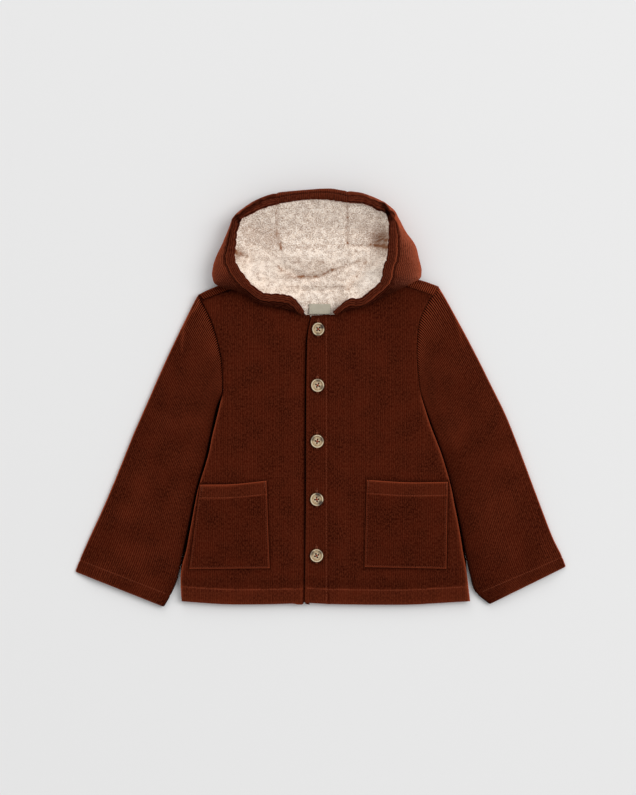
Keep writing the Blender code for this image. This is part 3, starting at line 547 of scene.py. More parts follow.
def finish(name, base, roughness, **sockets):
    """Material with a Principled shader whose plain values are set on its own sockets."""
    made = bpy.data.materials.new(name)
    made.use_nodes = True
    n = Nodes(made.node_tree)
    shader = made.node_tree.nodes["Principled BSDF"]
    shader.inputs["Base Color"].default_value = (*base, 1)
    shader.inputs["Roughness"].default_value = roughness
    for key, value in sockets.items():
        shader.inputs[key.replace("_", " ")].default_value = value
    return made, n, shader


def with_nap(n, nap, patch, streak, hair, grain=1.0):
    """Place the nap group on the piece's cloth coordinates. Gives its tone and its hairs."""
    cloth = n.cloth()
    node = n.tree.nodes.new("ShaderNodeGroup")
    node.node_tree = nap
    n.link(cloth, node.inputs["Cloth"])
    node.inputs["Patch Size"].default_value = patch
    node.inputs["Streak"].default_value = streak
    node.inputs["Hair Size"].default_value = hair
    node.inputs["Grain"].default_value = grain
    return node.outputs["Tone"], node.outputs["Hair"]


def corduroy_finish(nap):
    """Rust-brown cut pile: painted shade in the grooves, painted glints speckling the pile, a painted
    orange highlight along edges and silhouettes, painted shade in folds and beside edges.

    The attribute of painted light and shade runs from -1, in deep painted shade, over 0 to 1, a bright
    painted highlight; it also holds the tone of single ribs. `loose` is 1 where a pale pink sheen is
    painted on the hood's sides.
    """
    made, n, shader = finish(
        "corduroy",
        (0.05, 0.007, 0.002),
        0.9,
        Sheen_Weight=0.03,
        Sheen_Roughness=0.35,
        Sheen_Tint=(1.0, 0.35, 0.15, 1),
        Specular_IOR_Level=0.0,
    )
    tone, hair = with_nap(n, nap, 34.0, 0.45, 0.35)
    _, speckle = with_nap(n, nap, 9.0, 0.0, 1.4, 0.45)
    rib = n.fact("rib")
    painted_light = n.fact("painted_light")
    brushed = n.mix(n.remap(tone, 0.36, 0.64, 0.0, 1.0), (0.015, 0.0002, 0.0, 1), (0.049, 0.0046, 0.0014, 1))
    # light specks: painted glints of the pile's fibres
    speckled = n.mix(n.remap(speckle, 0.42, 0.59, 0.0, 0.88), brushed, (0.084, 0.0160, 0.0062, 1))
    hairy = n.mix(n.remap(hair, 0.3, 0.7, 0.0, 0.3), speckled, (0.108, 0.0210, 0.0085, 1))
    # painted shade in the grooves between the ribs
    grooved = n.mix(n.remap(rib, 0.0, 0.8, 0.95, 0.0), hairy, (0.005, 0.0005, 0.0002, 1))
    # pale pink sheen painted on the hood's sides, mottled by the specks
    pale_sheen = n.fact("loose")
    sheen_amount = n.math("MULTIPLY", pale_sheen, n.remap(speckle, 0.38, 0.60, 0.25, 1.0))
    sheened = n.mix(sheen_amount, grooved, (0.36, 0.115, 0.070, 1))
    # painted orange highlight where the light value is above 0
    painted_highlight = n.mix(n.remap(painted_light, 0.0, 1.0, 0.0, 0.75), sheened, (0.48, 0.092, 0.036, 1))
    # painted shade where the light value is below 0
    shaded = n.mix(n.remap(painted_light, -1.0, 0.0, 0.97, 0.0), painted_highlight, (0.003, 0.0005, 0.0003, 1))
    n.link(shaded, shader.inputs["Base Color"])
    bump = n.add("Bump", Height=hair, Strength=0.5, Distance=0.0003)
    n.link(bump.outputs[0], shader.inputs["Normal"])
    return made


def teddy_finish(nap):
    """Cream teddy pile: fine curls with painted highlights and warm painted shade, thin cracks of painted
    shade between tufts.

    The attribute of painted light and shade is 1 in painted shade and -1 in painted light; `rib` is 0
    between tufts; `loose` is 1 where the curls are long and smooth.
    """
    made, n, shader = finish(
        "teddy",
        (0.78, 0.65, 0.54),
        0.95,
        Sheen_Weight=0.15,
        Sheen_Roughness=0.5,
        Sheen_Tint=(1.0, 0.90, 0.80, 1),
        Specular_IOR_Level=0.0,
    )
    tone, hair = with_nap(n, nap, 20.0, 0.1, 0.8)
    few, worm = with_nap(n, nap, 8.0, 0.0, 1.6)
    _, strand = with_nap(n, nap, 8.0, 0.0, 2.5)
    curl = n.fact("rib")
    shade = n.fact("painted_light")
    loose = n.fact("loose")
    patch = n.mix(n.remap(tone, 0.35, 0.65, 0.0, 1.0), (0.86, 0.70, 0.57, 1), (0.88, 0.745, 0.63, 1))
    tight = n.remap(loose, 0.0, 1.0, 1.0, 0.45)
    # lighter and darker strands: painted highlight and shade of the curls
    dark_worm = n.math("MULTIPLY", n.remap(worm, 0.36, 0.47, 1.0, 0.0), tight)
    wormed = n.mix(dark_worm, patch, (0.38, 0.245, 0.165, 1))
    light_worm = n.math("MULTIPLY", n.remap(worm, 0.50, 0.60, 0.0, 0.95), tight)
    lit_worm = n.mix(light_worm, wormed, (1.0, 0.93, 0.85, 1))
    # thin cracks of painted shade between tufts, denser where painted shade lies
    line = n.remap(n.math("ABSOLUTE", n.math("SUBTRACT", strand, 0.5)), 0.0, 0.05, 1.0, 0.0)
    dark = n.remap(shade, 0.0, 1.0, 0.0, 0.95)
    dense = n.math("ADD", few, n.math("MULTIPLY", dark, 0.50))
    crack = n.math("MULTIPLY", line, n.remap(dense, 0.44, 0.56, 0.0, 0.95))
    parted = n.mix(crack, lit_worm, (0.33, 0.155, 0.080, 1))
    # painted shade deep between curls
    deep = n.mix(n.remap(curl, 0.0, 0.7, 0.14, 0.0), parted, (0.46, 0.30, 0.21, 1))
    fibre = n.mix(n.remap(hair, 0.35, 0.7, 0.0, 0.2), deep, (0.98, 0.91, 0.83, 1))
    # painted shade, then painted light
    shaded = n.mix(n.math("POWER", dark, 1.25), fibre, (0.25, 0.085, 0.022, 1))
    lit = n.mix(n.remap(shade, -1.0, 0.0, 0.42, 0.0), shaded, (1.0, 0.94, 0.86, 1))
    n.link(lit, shader.inputs["Base Color"])
    height = n.math("ADD", n.math("MULTIPLY", worm, 0.6), n.math("MULTIPLY", crack, -0.8))
    bump = n.add("Bump", Height=height, Strength=0.6, Distance=0.0012)
    n.link(bump.outputs[0], shader.inputs["Normal"])
    return made


def thread_finish(name, colour):
    """Twisted sewing thread: fine slanted ply lines in tone and bump."""
    made, n, shader = finish(name, colour, 0.7, Specular_IOR_Level=0.1)
    place = n.add("TexCoord").outputs["Object"]
    slanted = {"wave_type": "BANDS", "bands_direction": "DIAGONAL"}
    ply = n.add("TexWave", slanted, Vector=place, Scale=900.0, Distortion=1.0)
    dark = tuple(c * 0.55 for c in colour) + (1,)
    n.link(n.mix(ply.outputs["Fac"], dark, (*colour, 1)), shader.inputs["Base Color"])
    bump = n.add("Bump", Height=ply.outputs["Fac"], Strength=0.4, Distance=0.0002)
    n.link(bump.outputs[0], shader.inputs["Normal"])
    return made


def horn_finish():
    """Horn look: honey ground with faint streaks, a painted highlight on the rim and a lighter middle,
    grey-brown clouds, satin polish.

    `rib` is 1 in a cloud, `loose` 1 on the rim's painted highlight and the lighter middle, and the
    attribute of painted light and shade is 1 for painted shade in the holes, less in the rings.
    """
    polish = {"Coat_Weight": 0.12, "Coat_Roughness": 0.2, "Specular_IOR_Level": 0.3}
    made, n, shader = finish("horn", (0.6, 0.5, 0.35), 0.32, **polish)
    place = n.cloth()
    bent = n.add("Mapping", Vector=place, Rotation=(0, 0, 0.6), Scale=(0.30, 0.12, 1.0)).outputs[0]
    streak = n.noise(bent, 2.2, 3.0, 0.6)
    cloud, light, pit = (n.fact(name) for name in ("rib", "loose", "painted_light"))
    ground = n.mix(n.remap(streak, 0.36, 0.64, 0.0, 1.0), (0.27, 0.170, 0.080, 1), (0.52, 0.385, 0.230, 1))
    # painted highlight on the rim, and the lighter middle
    lit = n.mix(n.remap(light, 0.0, 1.0, 0.0, 0.75), ground, (0.86, 0.76, 0.56, 1))
    cloudy = n.mix(n.remap(cloud, 0.0, 0.9, 0.0, 0.95), lit, (0.060, 0.043, 0.032, 1))
    # painted shade in the holes and rings
    n.link(n.mix(pit, cloudy, (0.004, 0.002, 0.001, 1)), shader.inputs["Base Color"])
    n.link(n.remap(streak, 0.3, 0.7, 0.26, 0.42), shader.inputs["Roughness"])
    return made


def tape_finish(nap):
    """Plain woven label tape: warp and weft as a small chequer of bumps."""
    made, n, shader = finish("label_tape", (0.45, 0.41, 0.33), 0.8, Specular_IOR_Level=0.1)
    cloth = n.cloth()
    weave = n.add("TexChecker", Vector=cloth, Scale=3.0)
    tone, _ = with_nap(n, nap, 6.0, 0.2, 0.2)
    faded = n.mix(tone, (0.40, 0.36, 0.28, 1), (0.52, 0.48, 0.38, 1))
    woven = n.mix(n.remap(weave.outputs["Fac"], 0, 1, 0.0, 0.25), faded, (0.34, 0.30, 0.24, 1))
    n.link(woven, shader.inputs["Base Color"])
    bump = n.add("Bump", Height=weave.outputs["Fac"], Strength=0.5, Distance=0.0001)
    n.link(bump.outputs[0], shader.inputs["Normal"])
    return made


NAP = nap_group()
CORDUROY = corduroy_finish(NAP)
TEDDY = teddy_finish(NAP)
HORN = horn_finish()
TAPE = tape_finish(NAP)
SEAM_THREAD = thread_finish("seam_thread", (0.24, 0.058, 0.026))
BUTTON_THREAD = thread_finish("button_thread", (0.34, 0.060, 0.020))


# --- body: heights of the fronts --------------------------------------------------------------------
FRONT_PICKS = {
    "front_left": ((-1, -1), (1, -1), (1, 2), (-2, 1)),
    "front_right": ((-1, -1), (1, -1), (2, 1), (-1, 2)),
}
EAST, WEST = (Plan(node, pick=FRONT_PICKS[node]) for node in ("front_left", "front_right"))
BACK = Plan("back", pick=((-1, -1), (1, -1), (2, 1), (-2, 1)), facing=-1)
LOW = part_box("front_left")[0].z / MM  # underside of the fronts
TOP = 2 * LOW - GAP  # and their top, without loft
LAP_TOP = LOW + 3.5  # most height of the west front where the east front lies over it
PLACKET_LINE = 7.6  # x of the stitching of the button edge
EDGE_OUT = 1.1  # how far the middle of the button edge bows in from a straight line
FRONT_GROOVES = 0.7  # how dark the painted shade in the grooves is on the brushed fronts
HEM_TURN = -50.0  # x from which the hem line of the west front runs on level to the closure

# soft creases: from x, y to x, y, width, height
FRONT_CREASES = (
    (-150.0, -30.0, -104.0, 30.0, 7.0, -1.2),
    (-128.0, 4.0, -92.0, 58.0, 6.0, 0.9),
    (-112.0, 70.0, -60.0, 112.0, 9.0, 0.8),
    (-96.0, 118.0, -60.0, 40.0, 10.0, -0.8),
    (-44.0, 88.0, -36.0, -60.0, 8.0, 0.8),
    (-30.0, -40.0, -34.0, -210.0, 7.0, -0.8),
    (-90.0, -60.0, -84.0, -240.0, 12.0, 0.8),
    (-160.0, -150.0, -178.0, -240.0, 7.0, -1.0),
    (36.0, 92.0, 30.0, -40.0, 9.0, -0.8),
    (24.0, -60.0, 34.0, -230.0, 8.0, 0.8),
    (84.0, 110.0, 112.0, 36.0, 9.0, -1.0),
    (98.0, 60.0, 126.0, 4.0, 6.0, 1.0),
    (134.0, -8.0, 108.0, -60.0, 7.0, -1.2),
    (150.0, -40.0, 172.0, -130.0, 8.0, 1.0),
    (60.0, 30.0, 52.0, -90.0, 12.0, 0.7),
    (178.0, -160.0, 186.0, -246.0, 6.0, -0.9),
)


def front_cloth(x, y):
    """Top of the fronts without ribs: loft of the lining, the thin hem, creases and a slow swell."""
    west, east = WEST.left(y), EAST.right(y)
    across = np.clip((x - west) / (east - west), 0, 1)
    loft = CROWN * np.clip(4 * across * (1 - across), 0, 1) ** 0.7
    loft = loft * ease(y, -262, -150) * (1 - ease(y, 60, 125))
    hem = 1 - ease(y - EAST.bottom(x), 20, 36)
    calm = 1 - 0.8 * hem
    swell = 0.55 * soft_noise(x, y, 55, 3) + 0.25 * soft_noise(x, y, 21, 4)
    pucker = 0.35 * soft_noise(x, y, 9, 5) * np.exp(-(((y - EAST.bottom(x) - HEM_LINE) / 7) ** 2))
    return TOP + loft - HEM_LOSS * hem + calm * (creased(x, y, FRONT_CREASES) + swell) + pucker


def groove(distance, width=1.2):
    """Cross-section of cloth pulled down along a line of stitches."""
    return np.exp(-((distance / width) ** 2))


def side_roll(side, y):
    """Drop of a front towards its side: tight along the armhole, wide and soft below it."""
    tight = ease(y, -4, 16)
    return 5.0 * (1 - dome(side / 7)) * (1 - tight) + 2.6 * (1 - dome(side / 2.4)) * tight


def east_cloth(x, y):
    """East front: rolled at the side, hem and button edge, pulled down along its stitching."""
    hem, side, top, edge = EAST.inset(x, y)
    z = front_cloth(x, y)
    z -= side_roll(side, y) + 3.2 * (1 - dome(hem / 2.6)) + 3.4 * (1 - dome(edge / 2.2))
    z -= 2.0 * (1 - dome(top / 4)) * (x > 30)
    z -= 0.55 * groove(x - PLACKET_LINE) * ease(y, -262, -250) + 0.5 * groove(hem - HEM_LINE)
    return z


def west_hem(x, y, low):
    """Height above the hem of the west front, kept level past the corner of the underlap."""
    return np.where(x > HEM_TURN, y - WEST.bottom(HEM_TURN), low)


def west_cloth(x, y):
    """West front: dips towards the button edge and runs on under the east front as the underlap."""
    hem, side, top, _ = WEST.inset(x, y)
    from_edge = EAST.left(y) - x
    z = front_cloth(x, y) - EDGE_DIP * (1 - ease(from_edge, 1.0, 24.0))
    z -= side_roll(side, y) + 3.2 * (1 - dome(hem / 2.6)) + 2.0 * (1 - dome(top / 4)) * (x < -40)
    z -= 0.5 * groove(west_hem(x, y, hem) - HEM_LINE)
    return np.where(from_edge > 0.4, z, np.minimum(z, LAP_TOP - RIB_TALL))


POCKETS = {node: Plan(node, smooth=False) for node in ("pocket_left", "pocket_right")}


def pocket_shade(x, y):
    """Shade on the fronts just outside the pockets, from 0 to 1."""
    total = np.zeros(np.shape(x))
    for plan in POCKETS.values():
        sides = [plan.left(y) - x, x - plan.right(y), plan.bottom(x) - y, y - plan.top(x)]
        out = np.maximum.reduce(sides)
        total = np.maximum(total, np.exp(-((np.maximum(out, 0) / 2.2) ** 2)))
    return total


def rib_tone(at):
    """Share by which every second rib stands brighter, and a little chance for each rib."""
    number = np.floor(np.asarray(at) / RIB + 0.001).astype(int)
    chance = np.random.RandomState(15).uniform(-1, 1, 4000)[number % 4000]
    return RIB_TONE * (number % 2) + 0.6 * RIB_TONE * chance


def edge_bow(from_edge, y):
    """How far the button edge stands to the east of its straight line, most in the middle of its length."""
    return EDGE_OUT * np.exp(-from_edge / 5) * ease(y, -250, -120) * (1 - ease(y, 60, 105))


def button_shade(x, y):
    """Shade of the buttons on the front, from 0 to 0.4, deepest at their lower left."""
    total = np.zeros(np.shape(x))
    for number in range(1, 6):
        low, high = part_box(f"button_{number}")
        middle, r = (low + high) / 2 / MM, (high.x - low.x) / 2 / MM
        away = np.hypot(x - middle.x + 0.5, y - middle.y + 0.5) - r * BUTTON_SIZE
        total = np.maximum(total, 0.4 * np.exp(-((np.maximum(away, 0) / 1.4) ** 2)))
    return total


def collar_tuck(x, y, top):
    """How far the top edge of a front runs on under the collar: nothing at the closure and the shoulder."""
    share = ease(np.abs(x), 18, 26) * (1 - ease(np.abs(x), 66, 76))
    return 7.0 * share * ease(y, top - 8, top)


def make_front(node, plan, cloth, right_limit=None):
    """A front on columns that follow the ribs and rows from hem to shoulder, shut at its underside."""
    loop = plan.loop
    on_top = right_limit is None
    at, rib = ribbed(loop[:, 0].min(), loop[:, 0].max() if on_top else right_limit)
    hem, neck = loop[:, 1].min(), loop[:, 1].max()
    rows = rows_between(hem, neck, 4.0, ((hem + 2.5, 5.0, 0.7), (hem + 2 + HEM_LINE, 3.5, 1.0)))
    x, y = np.meshgrid(at, rows)
    inner_y = np.clip(y, plan.bottom(x), plan.top(x))
    wander = 0.35 * soft_noise(0 * x, inner_y, 60, 8) + 0.12 * soft_noise(x, inner_y, 25, 9)
    free_x, free_y = x + wander, y
    x, y = plan.fill(free_x, free_y)
    if not on_top:
        x = np.minimum(x, EAST.left(y) + 6.0)
    inside = (x == free_x) & (y == free_y)
    z = cloth(x, y)
    low, east_side, top, west_side = plan.inset(x, y)
    outer_side, inner_side = (east_side, west_side) if on_top else (west_side, east_side)
    edges = np.minimum.reduce((low, east_side, top, west_side))
    tall = RIB_TALL * (0.85 + 0.15 * soft_noise(x, y, 14, 10)) * ease(edges, 0.1, 1.3) * inside
    rib = np.broadcast_to(rib, x.shape)
    below = 1 - ease(y, -6, 8)
    at_armhole, at_side = (0.12, 0.9) if on_top else (-0.3, 0.65)
    # painted highlight along the outer side below the armhole; along the armhole a faint painted highlight on
    # the east front, painted shade on the west
    painted_light = (at_side * below + at_armhole * (1 - below)) * np.exp(-outer_side / 1.1)
    # painted highlight along the hem edge, painted shadow of the hood along the top edge
    painted_light = painted_light + 0.25 * np.exp(-low / 1.5) - 0.55 * np.exp(-top / 2.2)
    # tone of single ribs, and painted shade just outside the pockets
    painted_light = painted_light + rib_tone(at)[None, :] - 0.6 * pocket_shade(x, y)
    hem_up = low if on_top else west_hem(x, y, low)
    # painted highlight along the hem stitching, and the hem band a little lighter
    painted_light = painted_light + (0.20 + 0.10 * soft_noise(x, y, 7, 11)) * groove(hem_up - HEM_LINE - 0.5, 0.9)
    painted_light = painted_light + 0.05 * (1 - ease(hem_up, HEM_LINE - 1.0, HEM_LINE + 1.0))
    if on_top:
        # painted highlight along the button edge and its stitching, painted shade beside it, painted shadow
        # round the buttons
        painted_light = painted_light + 0.35 * np.exp(-inner_side / 1.0) + 0.09 * groove(x - PLACKET_LINE, 0.8)
        painted_light = painted_light - 0.10 * groove(x - PLACKET_LINE - 3.2, 1.6) - button_shade(x, y)
        x = x + edge_bow(inner_side, y) + 1.0 * np.exp(-outer_side / 6) * (1 - ease(y, -235, -205))
    else:
        x = x + 1.2 * np.exp(-outer_side / 6) * (1 - ease(y, -75, -45)) * ease(y, -225, -185)
        # painted shadow of the east front on the under front beside its edge
        beside = EAST.left(y) - x
        painted_light = painted_light * (beside > 3) - 0.95 * np.exp(-((beside / 2.0) ** 2))
    tuck = collar_tuck(x, y, plan.top(x))
    grid = stacked(x, y + tuck, np.maximum(z + rib * tall, LOW + 1.0))
    uv = stacked(x, y)
    soft_rib = 1 - (1 - rib) * FRONT_GROOVES
    piece = closed_panel(node + "_cloth", grid, LOW, CORDUROY, {"rib": soft_rib, "painted_light": painted_light}, uv)
    return dressed(piece, node)


# --- stitches ---------------------------------------------------------------------------------------
def thread_faces(count, long, around):
    """Faces of `count` threads with closed ends, each of `long` rings of `around` points."""
    each = long * around
    one = grid_quads(long, around, wrap=True)
    faces = (one[None] + (np.arange(count) * each)[:, None, None]).reshape(-1, 4).tolist()
    for start in range(0, count * each, each):
        faces.append(list(range(start + around - 1, start - 1, -1)))
        faces.append(list(range(start + each - around, start + each)))
    return faces


def ring_round(side, up, around):
    """Rings of `around` points at distance 1, in the planes of the side and up directions."""
    turn = np.linspace(0, 2 * math.pi, around, endpoint=False)
    return side[:, None] * np.cos(turn)[None, :, None] + up[:, None] * np.sin(turn)[None, :, None]


def stitch_row(name, path, thread, long=STITCH, gap=STITCH_GAP, thick=STITCH_THICK, seed=1):
    """Stitches along a path of points: each a short spindle, thick in the middle."""
    path = np.asarray(path, float)
    run = run_along(path)
    starts = np.arange(0.4, run[-1] - long, long + gap)
    rng = np.random.RandomState(seed)
    starts = starts + rng.uniform(-0.15, 0.15, len(starts))
    a, b = (
        np.stack([np.interp(at, run, path[:, k]) for k in range(3)], axis=-1)
        for at in (starts, starts + long)
    )
    along = (b - a) / lengths(b - a)
    side = np.cross(along, (0, 0, 1.0))
    side /= lengths(side)
    up = np.cross(side, along)
    t = np.array((-0.5, -0.38, 0.0, 0.38, 0.5))
    girth = np.array((0.15, 0.75, 1.0, 0.75, 0.15)) * thick / 2
    middle = (a + b)[:, None, None] / 2 + along[:, None, None] * (t * long)[None, :, None, None]
    ring = ring_round(side, up, SPINDLE)[:, None]
    lift = up[:, None, None] * (0.18 * (1 - (2 * t) ** 2) - 0.12)[None, :, None, None]
    points = (middle + ring * girth[None, :, None, None] + lift).reshape(-1, 3)
    faces = thread_faces(len(a), SPINDLE, SPINDLE)
    piece = new_piece(name, points, faces, thread, {}, np.zeros((len(points), 2)))
    return piece


def on_cloth(cloth, x, y, lift=0.35):
    """Path of points on a cloth function."""
    return stacked(x, y, cloth(x, y) + lift)


def make_body_stitches():
    """Hem and button-edge lines of both fronts."""
    x = np.arange(EAST.corner[0][0] + 1.5, EAST.corner[1][0] - 2.0, 2.0)
    stitch_row("hem_stitches_left", on_cloth(east_cloth, x, EAST.bottom(x) + HEM_LINE), SEAM_THREAD, seed=2)
    x = np.arange(WEST.corner[0][0] + 2.0, EAST.corner[0][0] - 1.5, 2.0)
    stitch_row("hem_stitches_right", on_cloth(west_cloth, x, WEST.bottom(x) + HEM_LINE), SEAM_THREAD, seed=3)
    y = np.arange(EAST.corner[0][1] + 1.5, EAST.top(PLACKET_LINE) - 2.0, 2.0)
    edge = on_cloth(east_cloth, np.full(len(y), PLACKET_LINE), y)
    stitch_row("button_edge_stitches", edge, SEAM_THREAD, seed=4)


# --- pockets ----------------------------------------------------------------------------------------
def pocket_cloth(plan):
    """Height of a pocket: the front's cloth, moved out, with a puff of its own, down at its stitching."""

    def height(x, y):
        low, right, mouth, left = plan.inset(x, y)
        sewn = np.minimum(np.minimum(low, right), left)
        z = front_cloth(x, y) + GAP + CORD
        z += 1.1 * ease(sewn, 2.5, 24.0) + 0.5 * soft_noise(x, y, 26, 21)
        z += 0.9 * np.exp(-((mouth / 9) ** 2)) * ease(sewn, 2.0, 20.0)
        z -= 1.9 * (1 - dome(np.minimum(sewn, mouth) / 1.7))
        z -= 0.5 * groove(sewn - POCKET_EDGE, 1.0) + 0.6 * groove(mouth - POCKET_LINE, 1.3)
        return z

    return height


def make_pocket(node):
    """A patch pocket on ribs of its own, with its hem line, edge stitching and bar tacks."""
    plan = Plan(node, smooth=False)
    cloth = pocket_cloth(plan)
    loop = plan.loop
    at, rib = ribbed(loop[:, 0].min(), loop[:, 0].max())
    low, mouth = loop[:, 1].min(), loop[:, 1].max()
    dense = ((low + 1.5, 3.5, 0.6), (mouth - 2.0, 4.0, 0.6), (mouth - 2 - POCKET_LINE, 4.0, 0.9))
    x, y = np.meshgrid(at, rows_between(low, mouth, 3.2, dense))
    x, y = plan.fill(x + 0.25 * soft_noise(0 * x, y, 50, 22), y)
    edges = np.minimum.reduce(plan.inset(x, y))
    rib = np.broadcast_to(rib, x.shape)
    grid = stacked(x, y, cloth(x, y) + rib * RIB_TALL * ease(edges, 0.1, 1.2))
    floor = float((front_cloth(x, y)).min()) - 1.0
    uv = stacked(x + 40, y)
    low_edge, east_edge, mouth_edge, west_edge = plan.inset(x, y)
    # painted highlight along the pocket's edges, painted shade at its edge stitching, painted highlight along
    # its hem stitching and the hem band a little lighter
    painted_light = 0.8 * np.exp(-np.minimum(low_edge, mouth_edge) / 0.8)
    painted_light = painted_light + 0.5 * np.exp(-np.minimum(east_edge, west_edge) / 0.8)
    sewn = np.minimum(np.minimum(low_edge, east_edge), west_edge)
    painted_light = np.minimum(painted_light, 0.8) - 0.12 * groove(sewn - POCKET_EDGE, 0.9)
    painted_light = painted_light + 0.19 * groove(mouth_edge - POCKET_LINE - 0.4, 0.8)
    painted_light = painted_light + 0.05 * (1 - ease(mouth_edge, POCKET_LINE - 1, POCKET_LINE))
    facts = {"rib": 1 - (1 - rib) * FRONT_GROOVES, "painted_light": painted_light}
    dressed(closed_panel(node + "_cloth", grid, floor, CORDUROY, facts, uv), node)
    (ax, ay), (bx, by), (cx, cy), (dx, dy) = plan.corner
    e = POCKET_EDGE
    corners = np.array([(dx + e, dy - 1.0), (ax + e, ay + e), (bx - e, by + e), (cx - e, cy - 1.0)])
    run = smooth_line(corners)
    edge = on_cloth(cloth, run[:, 0], run[:, 1])
    stitch_row(node + "_edge_stitches", edge, SEAM_THREAD, 2.3, 0.6, 0.5, seed=5)
    x = np.arange(plan.left(dy - POCKET_LINE) + 3.0, plan.right(cy - POCKET_LINE) - 2.0, 2.0)
    stitch_row(node + "_hem_stitches", on_cloth(cloth, x, plan.top(x) - POCKET_LINE), SEAM_THREAD, seed=6)
    for tag, tx, ty in (("outer", dx + e, dy), ("inner", cx - e, cy)):
        y = np.arange(ty - 9.0, ty - 0.5, 0.6)
        zig = tx + 0.5 * np.where(np.arange(len(y)) % 2, 1, -1)
        stitch_row(f"{node}_{tag}_tack", on_cloth(cloth, zig, y, 0.6), SEAM_THREAD, 0.9, 0.1, 0.6, seed=7)


def smooth_line(corners, step=2.0):
    """Straight runs between corners, sampled every `step`."""
    runs = []
    for a, b in zip(corners[:-1], corners[1:]):
        count = max(2, int(np.linalg.norm(b - a) / step))
        runs.append(a + (b - a) * np.linspace(0, 1, count, endpoint=False)[:, None])
    return np.vstack(runs + [corners[-1:]])


# --- back -------------------------------------------------------------------------------------------
BACK_CAP = 5.0  # height of the back's inner face
SIDE_BULGE = 4.1  # the rolled sides of the back reach out below the sleeves by 1.5 less than this
UNDERARM_BULGE = 3.2  # and this much more close to the armholes
FOLD_DEEP = 5.0  # how far in from the shoulder fold the back has turned over
STRIP_ROWS = 9  # rows of points from there to the shoulder seam
STRIP_THICK = 1.6
SEAM_DIP = 1.6  # how far the strip goes down into the shoulder seam
TIP_X = (BACK.corner[3][0], BACK.corner[2][0])  # x of the shoulder tips
# x where each strip ends at the neck
SEAM_NECK = {"west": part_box("neck_lining")[0].x / MM - 2.0, "east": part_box("neck_lining")[1].x / MM + 2.0}


def fold_lean(ax, ay, bx, by):
    """Direction in which vertical ribs run once they are mirrored in the fold from a to b."""
    return 2 * math.atan2(by - ay, bx - ax) - math.pi / 2


WEST_LEAN = fold_lean(*BACK.corner[3], SEAM_NECK["west"], float(BACK.top(SEAM_NECK["west"])))
EAST_LEAN = fold_lean(SEAM_NECK["east"], float(BACK.top(SEAM_NECK["east"])), *BACK.corner[2])


def seam_of(side, x):
    """y of the shoulder seam at each x, from the front's own top edge."""
    return (WEST if side == "west" else EAST).top(x)


def back_under():
    """Shell of the underside: rolled at its edges, bulging out a little below the sleeves."""
    loop = BACK.loop
    at, rib = ribbed(loop[:, 0].min(), loop[:, 0].max())
    hem, peak = loop[:, 1].min(), loop[:, 1].max()
    x, y = np.meshgrid(at, rows_between(hem, peak, 6.0, ((hem + 2.5, 5.0, 0.8), (peak - 5, 5.0, 1.0))))
    x, y = BACK.fill(x, y)
    low, right, top, left = BACK.inset(x, y)
    side = np.minimum(left, right)
    z = 6.3 * (1 - dome(side / 7)) + 2.6 * (1 - dome(low / 2.6)) + 3.0 * (1 - dome(top / 4))
    below_sleeves = ease(y, -250, -200) * (1 - ease(y, -2, 10))
    reach = SIDE_BULGE + UNDERARM_BULGE * ease(y, -70, -45)
    bulge = reach * (side / 1.5) * np.exp(1 - side / 1.5) * below_sleeves
    x = x + np.where(left < right, -bulge, bulge)
    rib = np.broadcast_to(rib, x.shape)
    z = np.minimum(z, BACK_CAP - 0.05) + 0.4 * (1 - rib) * ease(side, 1, 4)
    # painted highlight along the hem edge, painted shade at the sides below the sleeves
    painted_light = 0.4 * np.exp(-low / 1.5) - 0.9 * np.exp(-side / 6) * below_sleeves
    grid, uv = stacked(x, y, z), stacked(x + 400, y)
    return shut(grid, BACK_CAP, {"rib": rib, "painted_light": painted_light}, uv, flip=True)


def back_over(side, low, high, lean):
    """Shell of the back turned over a shoulder: round the fold and on to the seam, ribs mirrored in it."""
    at, rib = ribbed(low, high)
    x = np.clip(at, low, high)
    fold = BACK.top(x)
    ahead, down = math.cos(lean), math.sin(lean)
    step = np.linspace(0, 60, 241)
    past = fold[:, None] + down * step < seam_of(side, x[:, None] + ahead * step)
    reach = step[past.argmax(axis=1)]
    angle = np.radians((-50, -25, 0, 25, 50, 70, 90))
    over = FOLD_DEEP * (1 - np.cos(angle))[:, None] + 0 * x
    share = np.linspace(0.1, 1, STRIP_ROWS)
    flat = FOLD_DEEP + share[:, None] * np.maximum(reach - FOLD_DEEP, 0)
    s = np.vstack([over, flat])
    z = np.concatenate([TOP / 2 * (1 + np.sin(angle)), TOP - SEAM_DIP * share**6])[:, None] + 0 * s
    grid = stacked(x + ahead * s, fold + down * s, z)
    rib = np.broadcast_to(rib, s.shape)
    grid = grid + outward(grid) * (rib * RIB_TALL)[..., None]
    turned = np.concatenate([np.cos(angle), np.zeros(STRIP_ROWS)])[:, None]
    # painted highlight where the fold turns down; on the strip, painted light on the crests and painted shade
    # in the grooves, darker on the west strip
    dark = 1.5 if side == "west" else 1.2
    painted_light = 0.75 * np.maximum(turned, 0) ** 6 + (1.9 * rib**3 - dark) * (1 - turned) + 0 * s
    uv = stacked(at + 400 + 0 * s, 200 + s)
    return layered(grid, STRIP_THICK, {"rib": rib, "painted_light": painted_light}, uv)


def make_back():
    """The back: a ribbed underside, and a strip over each shoulder to the seam."""
    strips = [
        back_over("west", TIP_X[0], SEAM_NECK["west"], WEST_LEAN),
        back_over("east", SEAM_NECK["east"], TIP_X[1], EAST_LEAN),
    ]
    points, faces, facts, uv = joined([back_under(), *strips])
    dressed(new_piece("back_cloth", points, faces, CORDUROY, facts, uv), "back")


